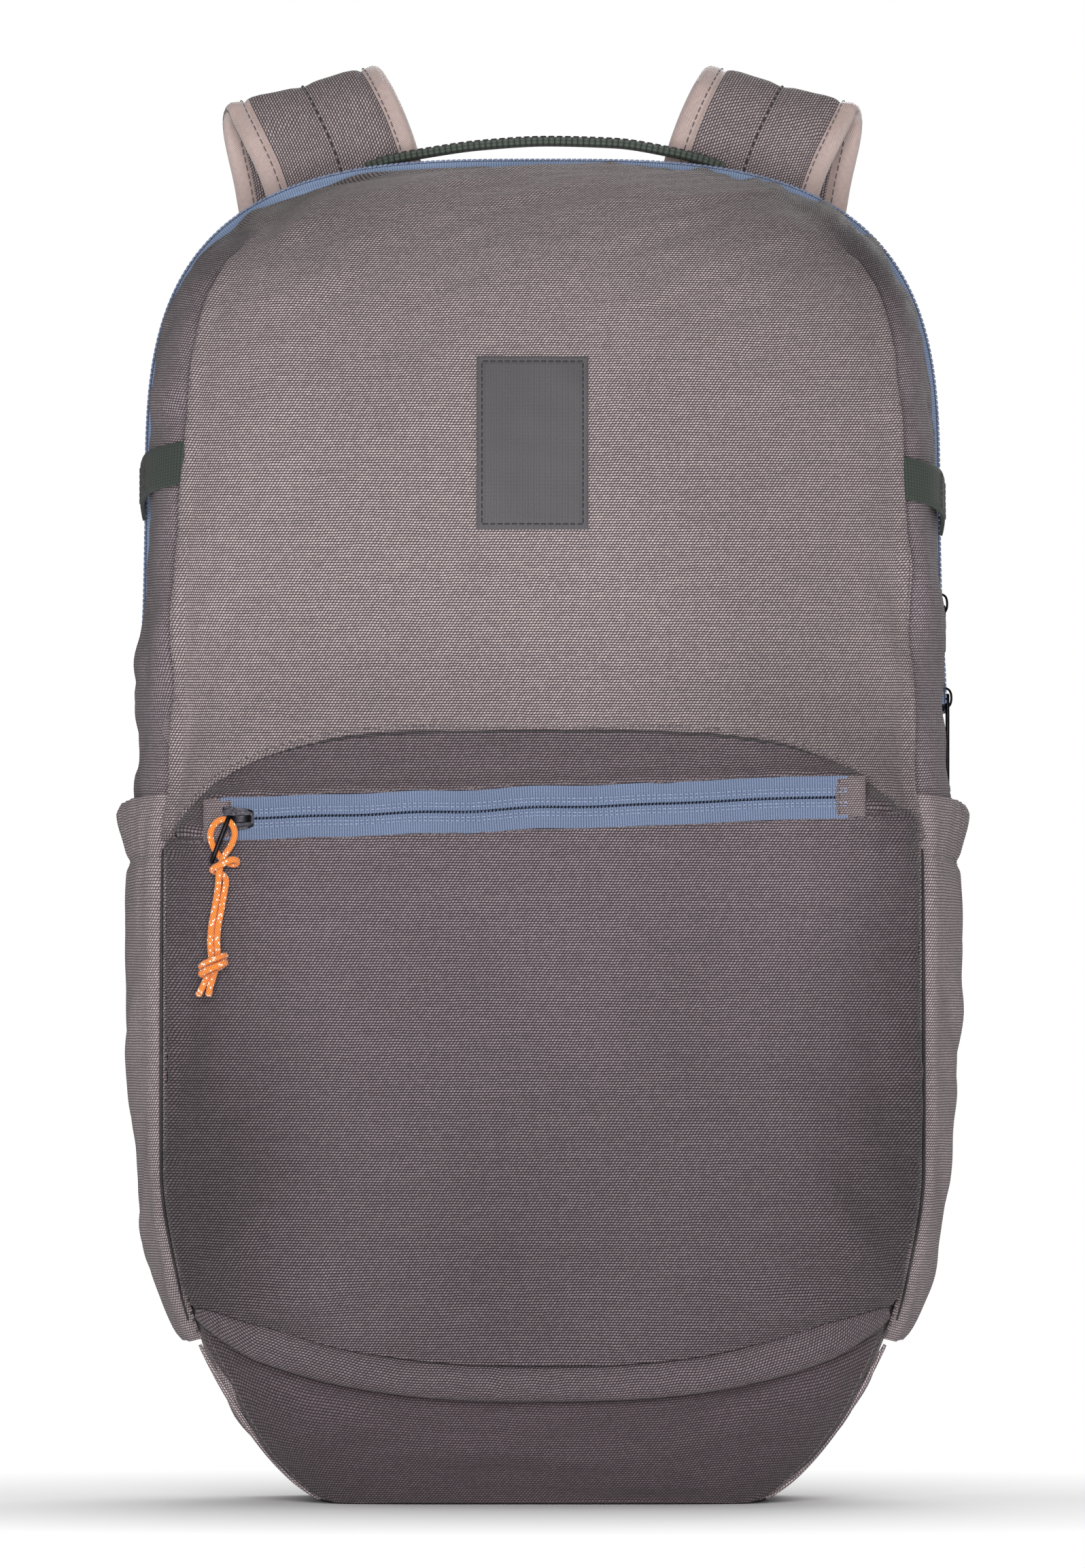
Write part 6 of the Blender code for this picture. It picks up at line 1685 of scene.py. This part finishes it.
# Centre line of the right shoulder strap from its sewn end over the fold and down, with its tilt and
# width at the same points.
STRAP_ROUTE = [
    (0.064, 0.0935, 0.43), (0.067, 0.0935, 0.455), (0.0745, 0.0945, 0.485), (0.0815, 0.098, 0.501),
    (0.0865, 0.108, 0.509), (0.088, 0.118, 0.501), (0.0835, 0.1212, 0.478), (0.079, 0.1215, 0.44),
    (0.081, 0.1215, 0.38), (0.09, 0.1215, 0.31), (0.0985, 0.1205, 0.24), (0.102, 0.119, 0.18),
]
STRAP_TILT = [0.1, 0.14, 0.24, 0.28, 0.28, 0.24, 0.12, 0.0, -0.08, -0.12, -0.08, -0.02]
STRAP_WIDTH = [0.056, 0.057, 0.058, 0.058, 0.058, 0.058, 0.058, 0.058, 0.057, 0.054, 0.05, 0.044]
STRAP_BOUND = 0.0072          # width of the binding along a strap's edge


def strap_section(width, place, seed):
    """Section of a padded strap: two bound edges, and a crowned middle with a sewn channel."""
    half = width / 2
    padded = half - STRAP_BOUND
    u = np.linspace(-1, 1, 41)
    u = np.sign(u) * (1 - (1 - np.abs(u)) ** 1.35)
    inside = np.clip((padded - np.abs(u) * half) / 0.006, 0, 1) ** 0.5
    crown = 0.0031 + 0.0014 * inside - 0.0009 * hill(u * half, 0.003)
    edge = np.clip((1 - np.abs(u)) * half / 0.0022, 0, 1) ** 0.5
    crown = crown * (0.25 + 0.75 * edge) - 0.0008 * hill(np.abs(u) * half - padded, 0.0012)
    swell_here = 1 + 0.05 * ripple(u * half, place, 0.035, seed)
    top = np.stack([u * half, crown * swell_here], -1)
    under = np.stack([u[::-1] * half * 0.999, -crown[::-1] * 0.98], -1)
    looks = [1 if abs(a) * half > padded - 0.0002 else 0 for a in np.concatenate([u, u[::-1]])]
    return np.concatenate([top, under]), looks


def shoulder_straps():
    """Both padded straps, each running over its fold from its sewn end to its swinging part."""
    count = 190
    knots = np.arange(len(STRAP_ROUTE))
    where = np.linspace(0, len(STRAP_ROUTE) - 1, count)
    path = curve_through(STRAP_ROUTE, count)
    tilt = through(list(zip(knots, STRAP_TILT)))(where)
    width = through(list(zip(knots, STRAP_WIDTH)))(where)
    walked = walk(path)
    for name, flip, seed in (("right", 1.0, 161), ("left", -1.0, 171)):
        sections, looks = zip(*[strap_section(w, p, seed) for w, p in zip(width, walked)])
        line = path * np.array([flip, 1.0, 1.0])
        side = np.stack([np.ones(count), np.zeros(count), -tilt * flip], -1)
        strap = Build()
        strap.sweep(line, side, np.array(sections), looks[0])
        along = directions(line)
        across = unit(side - along * (side * along).sum(-1, keepdims=True))
        out = np.cross(across, along)
        to_edge = across * (width / 2 - 0.006)[:, None]
        for face in (-out, out):
            for row in (line - to_edge, line + to_edge):
                strap.stitches(row + face * 0.0033, face, 2, 0.003, 0.0022, 0.00024)
            strap.stitches(line + face * 0.004, face, 3, 0.0034, 0.0024, 0.00034)
        bend = ("root", "strap_" + name, (0.0, 0.0975, 0.5), (0.0, 0.1165, 0.5))
        made = strap.done("strap_" + name + "_padded", ["strap", "binding", "thread", "groove"], bend,
                          ["shoulder_strap_" + name, "strap_sewn_end_" + name], 60.0)


def strap_yoke():
    """Cloth panel that the straps and the handle are sewn under."""
    low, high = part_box("strap_yoke")
    x = np.linspace(high.x - 0.0004, low.x + 0.0004, 90)[None]
    z = np.linspace(low.z + 0.0004, high.z - 0.0004, 34)[:, None]
    wide, tall = np.broadcast_arrays(x, z)
    grid = np.stack([wide, np.full(wide.shape, high.y), tall], -1)
    rim = rim_distance(grid)
    grid[..., 1] -= 0.0012 * hill(rim, 0.001) + 0.0003 * hill(rim - 0.0032, 0.0008)
    yoke = Build()
    back = grid.copy()
    back[..., 1] = low.y
    yoke.slab(grid, 0, 0, 1, cloth_map(wide, tall), back)
    for row in (2, -3):
        yoke.stitches(grid[row, 3:-3], REARWARD, 2, radius=0.00026)
    yoke.done("yoke_cloth", ["side", "lining", "thread"], "root", ["strap_yoke"])


def flat_webbing(width, thickness):
    """Section of a webbing: square-edged, slightly thinner at its sides."""
    corners = [(1.0, 0.0), (0.985, 0.7), (0.92, 1.0), (0.0, 1.05), (-0.92, 1.0), (-0.985, 0.7)]
    half = [(a * width / 2, b * thickness / 2) for a, b in corners]
    return half + [(-a, -b) for a, b in half]


WEBBING = flat_webbing(0.0198, 0.0012)


def lower_webbing():
    """Bottom tabs, adjuster webbing, ladder locks and the tabs that hold them to the straps."""
    for name, flip in SIDES:
        low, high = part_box("ladder_lock_" + name)
        x, y, z = (low.x + high.x) / 2, (low.y + high.y) / 2, (low.z + high.z) / 2
        strap = "strap_" + name
        tab = [(x, y + 0.0008, z + 0.0262), (x, y + 0.004, z + 0.017), (x, y + 0.004, z + 0.0105),
               (x, y + 0.0005, z + 0.007), (x, y - 0.004, z + 0.0092), (x, y - 0.0042, z + 0.017)]
        piece = Build()
        piece.sweep(curve_through(tab, 60), ACROSS, WEBBING)
        piece.done("strap_tab_webbing_" + name, ["green"], strap, ["strap_tab_" + name])
        run = [(flip * 0.0965, 0.0905, 0.048), (flip * 0.097, 0.096, 0.062),
               (flip * 0.0995, 0.1075, 0.1), (x, y - 0.0052, z - 0.015),
               (x, y - 0.0036, z - 0.0105), (x, y + 0.0002, z - 0.007),
               (x, y + 0.004, z - 0.01), (x, y + 0.0058, z - 0.018), (x, y + 0.008, z - 0.06),
               (x - flip * 0.002, y + 0.007, z - 0.11)]
        line = curve_through(run, 181)
        split = 100
        lower = Build()
        lower.sweep(line[:split + 1], ACROSS, WEBBING)
        bend = ("root", strap, (0.0, 0.0, 0.058), (0.0, 0.0, 0.14))
        lower.done("adjuster_webbing_lower_" + name, ["green"], bend,
                   ["adjuster_webbing_" + name])
        tail = Build()
        tail.sweep(line[split:-4], ACROSS, WEBBING)
        end, last = line[-4], unit(line[-4] - line[-8])
        hem = end + last * np.linspace(-0.016, 0.0012, 12)[:, None] + np.array([0.0, 0.0011, 0.0])
        tail.sweep(hem, ACROSS, flat_webbing(0.0196, 0.0011))
        for place in (2, 9):
            sewn_across(tail, hem[place], ACROSS, 0.0088)
        tail.done("adjuster_webbing_tail_" + name, ["green", "dark_thread"], strap)
        ladder_lock(name, x, y, z)
        bottom_tab(name)


def sewn_across(build, place, axis, reach):
    """A row of stitches across the rear face of a webbing."""
    row = place + np.linspace(-reach, reach, 12)[:, None] * np.array(axis)
    row = row + np.array([0.0, 0.0007, 0.0])
    build.stitches(row, REARWARD, 1, 0.0024, 0.0018, 0.00024)


def ladder_lock(name, x, y, z):
    """Moulded buckle frame with two slots, three bars and a thumb lip."""
    lock = Build()
    swell_at = np.array([0.55, 1.0, 1.0, 1.0, 1.0, 0.55])[:, None, None]
    rounded = 0.0021 * fuller(np.stack(circle(20), -1), 0.5)
    heights = (-0.0138, -0.012, -0.004, 0.004, 0.012, 0.0138)
    for side in (-1, 1):
        rail = np.array([(x + side * 0.0133, y, z + height) for height in heights])
        lock.sweep(rail, ACROSS, rounded[None] * swell_at)
    for height, thick, behind in ((0.0118, 0.002, 0.0), (0.0, 0.0018, 0.0002), (-0.0118, 0.002, 0.0)):
        lock.bar((x, y + behind, z + height), ACROSS, (0.0128, 0.0142, 0.015), thick, 16)
    lip = np.array([(x + s, y + 0.0006, z - 0.0131) for s in np.linspace(-0.0105, 0.0105, 13)])
    lock.rope(lip, 0.001, sides=12)
    lock.done("ladder_lock_frame_" + name, ["plastic"], "ladder_lock_" + name,
              ["ladder_lock_" + name])


def bottom_tab(name):
    """Folded webbing tab sewn into the lower corner, with a crossed box of stitches."""
    low, high = (np.array(corner[:], float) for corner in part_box("bottom_tab_" + name))
    tab = Build()
    tab.block(low + 0.0002, high - 0.0002, 0, 0.001)
    y = high[1] - 0.0001
    a, b = low + 0.0032, high - 0.0032
    corners = [(a[0], a[2]), (b[0], a[2]), (b[0], b[2]), (a[0], b[2])]
    rows = list(zip(corners, corners[1:] + corners[:1])) + [corners[::2], corners[1::2]]
    for (x0, z0), (x1, z1) in rows:
        row = np.stack([np.linspace(x0, x1, 14), np.full(14, y), np.linspace(z0, z1, 14)], -1)
        tab.stitches(row, REARWARD, 1, 0.0024, 0.0018, 0.00024)
    tab.done("bottom_tab_webbing_" + name, ["green", "dark_thread"], "root",
             ["bottom_tab_" + name])


def sternum_strap():
    """Chest strap: webbing, sliding anchors and a side release buckle."""
    low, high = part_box("buckle_female")
    y, z = (low.y + high.y) / 2, (low.z + high.z) / 2
    for name, _ in SIDES:
        low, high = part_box("sternum_webbing_" + name)
        strap = Build()
        path = np.stack([np.linspace(high.x, low.x, 50), np.full(50, y), np.full(50, z)], -1)
        strap.sweep(path, UPWARD, flat_webbing(0.0196, 0.0012))
        for place in (4, 8) if name == "right" else (-5, -9):
            sewn_across(strap, path[place], UPWARD, 0.0085)
        strap.done("sternum_strap_webbing_" + name, ["green", "dark_thread"], "sternum_strap",
                   ["sternum_webbing_" + name])
        low, high = (np.array(corner[:], float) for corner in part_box("sternum_anchor_" + name))
        anchor = Build()
        middle = (low + high) / 2
        for level in (-0.0098, 0.0098):
            anchor.block((low[0] + 0.0004, low[1] + 0.0004, middle[2] + level - 0.0024),
                         (high[0] - 0.0004, high[1] - 0.0004, middle[2] + level + 0.0024), 0, 0.0012)
        for place in (-0.0118, 0.0, 0.0118):
            anchor.block((middle[0] + place - 0.0022, low[1] + 0.0005, middle[2] - 0.0095),
                         (middle[0] + place + 0.0022, high[1] - 0.0005, middle[2] + 0.0095), 0, 0.0012)
        anchor.done("sternum_anchor_frame_" + name, ["plastic"], "sternum_strap",
                    ["sternum_anchor_" + name])
    buckle(y, z)


def loft_along_x(build, stations, y, z, power=4.0, sides=32):
    """Solid along X from (x, half height, half thickness) stations with rounded-box sections."""
    c, s = circle(sides)
    k = (np.abs(c) ** power + np.abs(s) ** power) ** (-1 / power)
    path = np.array([(x, y, z) for x, _, _ in stations])
    section = np.array([np.stack([tall * c * k, thick * s * k], -1) for _, tall, thick in stations])
    build.sweep(path, UPWARD, section)


def buckle(y, z):
    """Side release buckle: a socket with open sides, and a plug that fills it."""
    low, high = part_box("buckle_female")
    x0, x1 = low.x, high.x
    female = Build()
    for side in (-1, 1):
        body = [(x0 + 0.0062, 0.007, 0.0006), (x0 + 0.0075, 0.0086, 0.0009),
                (x0 + 0.013, 0.0094, 0.001), (x1 - 0.004, 0.011, 0.001),
                (x1 - 0.0008, 0.0112, 0.0009), (x1 - 0.0001, 0.0104, 0.0006)]
        loft_along_x(female, body, y + side * 0.0028, z)
    for side in (-1, 1):
        rail = [(x0 + 0.0055, 0.001, 0.0024), (x0 + 0.0085, 0.0013, 0.003), (x1 - 0.012, 0.0012, 0.003),
                (x1 - 0.011, 0.0007, 0.0024)]
        loft_along_x(female, rail, y, z + side * 0.0088)
        mouth = [(x1 - 0.0036, 0.0009, 0.0024), (x1 - 0.0026, 0.0012, 0.0031),
                 (x1 - 0.0003, 0.001, 0.0028)]
        loft_along_x(female, mouth, y, z + side * 0.0102)
    for place in (x0 + 0.0014, x0 + 0.0068):
        female.bar((place, y, z), UPWARD, (0.0106, 0.0118, 0.0124), 0.0014, 14)
    for side in (-1, 1):
        end = [(x0 + 0.0004, 0.0014, 0.0016), (x0 + 0.0014, 0.002, 0.0022),
               (x0 + 0.0068, 0.0022, 0.0026), (x0 + 0.009, 0.0016, 0.0024)]
        loft_along_x(female, end, y, z + side * 0.0112)
    female.done("buckle_socket", ["plastic"], "sternum_strap", ["buckle_female"])
    low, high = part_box("buckle_male")
    x0, x1 = low.x, high.x
    male = Build()
    plate = [(x0 + 0.0001, 0.0104, 0.0016), (x0 + 0.001, 0.0114, 0.0022), (x0 + 0.0052, 0.0116, 0.0024),
             (x0 + 0.0062, 0.011, 0.0018)]
    loft_along_x(male, plate, y, z)
    for side in (-1, 1):
        rail = [(x0 + 0.005, 0.0014, 0.0018), (x0 + 0.006, 0.0017, 0.0022),
                (x1 - 0.0022, 0.0016, 0.002), (x1 - 0.0008, 0.001, 0.0014)]
        loft_along_x(male, rail, y, z + side * 0.0104)
    for place in (x0 + 0.0105, x1 - 0.0018):
        bar = np.array([(place, y, z + s) for s in (-0.0112, -0.01, 0.0, 0.01, 0.0112)])
        male.rope(bar, 0.0015 * np.array([0.6, 1.0, 1.0, 1.0, 0.6]), sides=14)
    male.done("buckle_plug", ["plastic"], "sternum_strap", ["buckle_male"])


# ---- studio ------------------------------------------------------------------------------------
FLOOR_RADIUS = 1.7
LIGHT_AIM = (0.0, 0.0, 0.25)
WHITE = (1.0, 1.0, 1.0, 1.0)
# Area lights: name, place, watts and size.
LIGHTS = (("key", (-0.05, -2.8, 0.45), 110.0, 1.0), ("top", (0.0, 0.2, 2.6), 3.0, 1.6),
          ("back", (0.5, 2.6, 1.5), 60.0, 1.8))
AMBIENT = 0.23                # light from all round; the backdrop itself shows as plain white


def studio():
    """White surroundings, three soft lights, and a pale floor that fades into the surroundings."""
    world = bpy.data.worlds.new("studio")
    bpy.context.scene.world = world
    world.use_nodes = True
    tree = world.node_tree
    tree.nodes["Background"].inputs["Color"].default_value = WHITE
    seen = tree.nodes.new("ShaderNodeLightPath").outputs["Is Camera Ray"]
    strength = tree.nodes.new("ShaderNodeMapRange")
    strength.inputs["To Min"].default_value = AMBIENT
    strength.inputs["To Max"].default_value = 1.0
    tree.links.new(seen, strength.inputs["Value"])
    tree.links.new(strength.outputs["Result"], tree.nodes["Background"].inputs["Strength"])
    bpy.context.scene.view_settings.view_transform = "Standard"
    for name, place, watts, size in LIGHTS:
        data = bpy.data.lights.new(name, "AREA")
        data.energy, data.size = watts, size
        light = bpy.data.objects.new(name, data)
        light.location = place
        aim = np.array(LIGHT_AIM) - np.array(place)
        light.rotation_euler = (math.atan2(math.hypot(aim[0], aim[1]), -aim[2]), 0.0,
                                math.atan2(-aim[0], aim[1]))
        bpy.context.collection.objects.link(light)
    made = bmesh.new()
    bmesh.ops.create_circle(made, cap_ends=True, segments=96, radius=FLOOR_RADIUS)
    mesh = bpy.data.meshes.new("floor")
    made.to_mesh(mesh)
    made.free()
    floor = bpy.data.objects.new("floor", mesh)
    floor.location.z = -0.0005
    bpy.context.collection.objects.link(floor)
    s = Shader("floor", roughness=0.9, specular=0.1)
    place = s.node("TexCoord").outputs["Object"]
    away = s.node("VectorMath", {0: place}, operation="LENGTH").outputs["Value"]
    cloudy = s.spread(s.noise(place, 3.0), 0.3, 0.7)
    s.colour(s.mix(cloudy, (0.9, 0.9, 0.9, 1.0), (0.93, 0.93, 0.93, 1.0)))
    glow = s.node("Emission", {"Color": WHITE, "Strength": 1.0}).outputs[0]
    fade = {0: s.spread(away, 0.08, 0.42), 1: s.surface.outputs[0], 2: glow}
    blend = s.node("MixShader", fade).outputs[0]
    s.tree.links.new(blend, s.tree.nodes["Material Output"].inputs["Surface"])
    mesh.materials.append(s.material)


def keep_frame_sheet():
    """The frame sheet stays as the CAD made it, and only gets its plastic."""
    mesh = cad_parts["frame_sheet"].data
    mesh.materials.clear()
    mesh.materials.append(LOOKS["sheet"])


LOOKS = make_looks()
for make in (camera, pull_cord, flap_cloth, side_cloth, side_pockets, base_cloth, pocket_cloth,
             arch_cloth, pocket_lining, seam_lines, bottom_roll, front_zip, front_slider, main_zip,
             main_sliders, patch, lash_webbing, rear_gusset, back_panel, back_padding,
             laptop_sleeve, haul_handle, shoulder_straps, strap_yoke, lower_webbing, sternum_strap,
             keep_frame_sheet, studio):
    make()
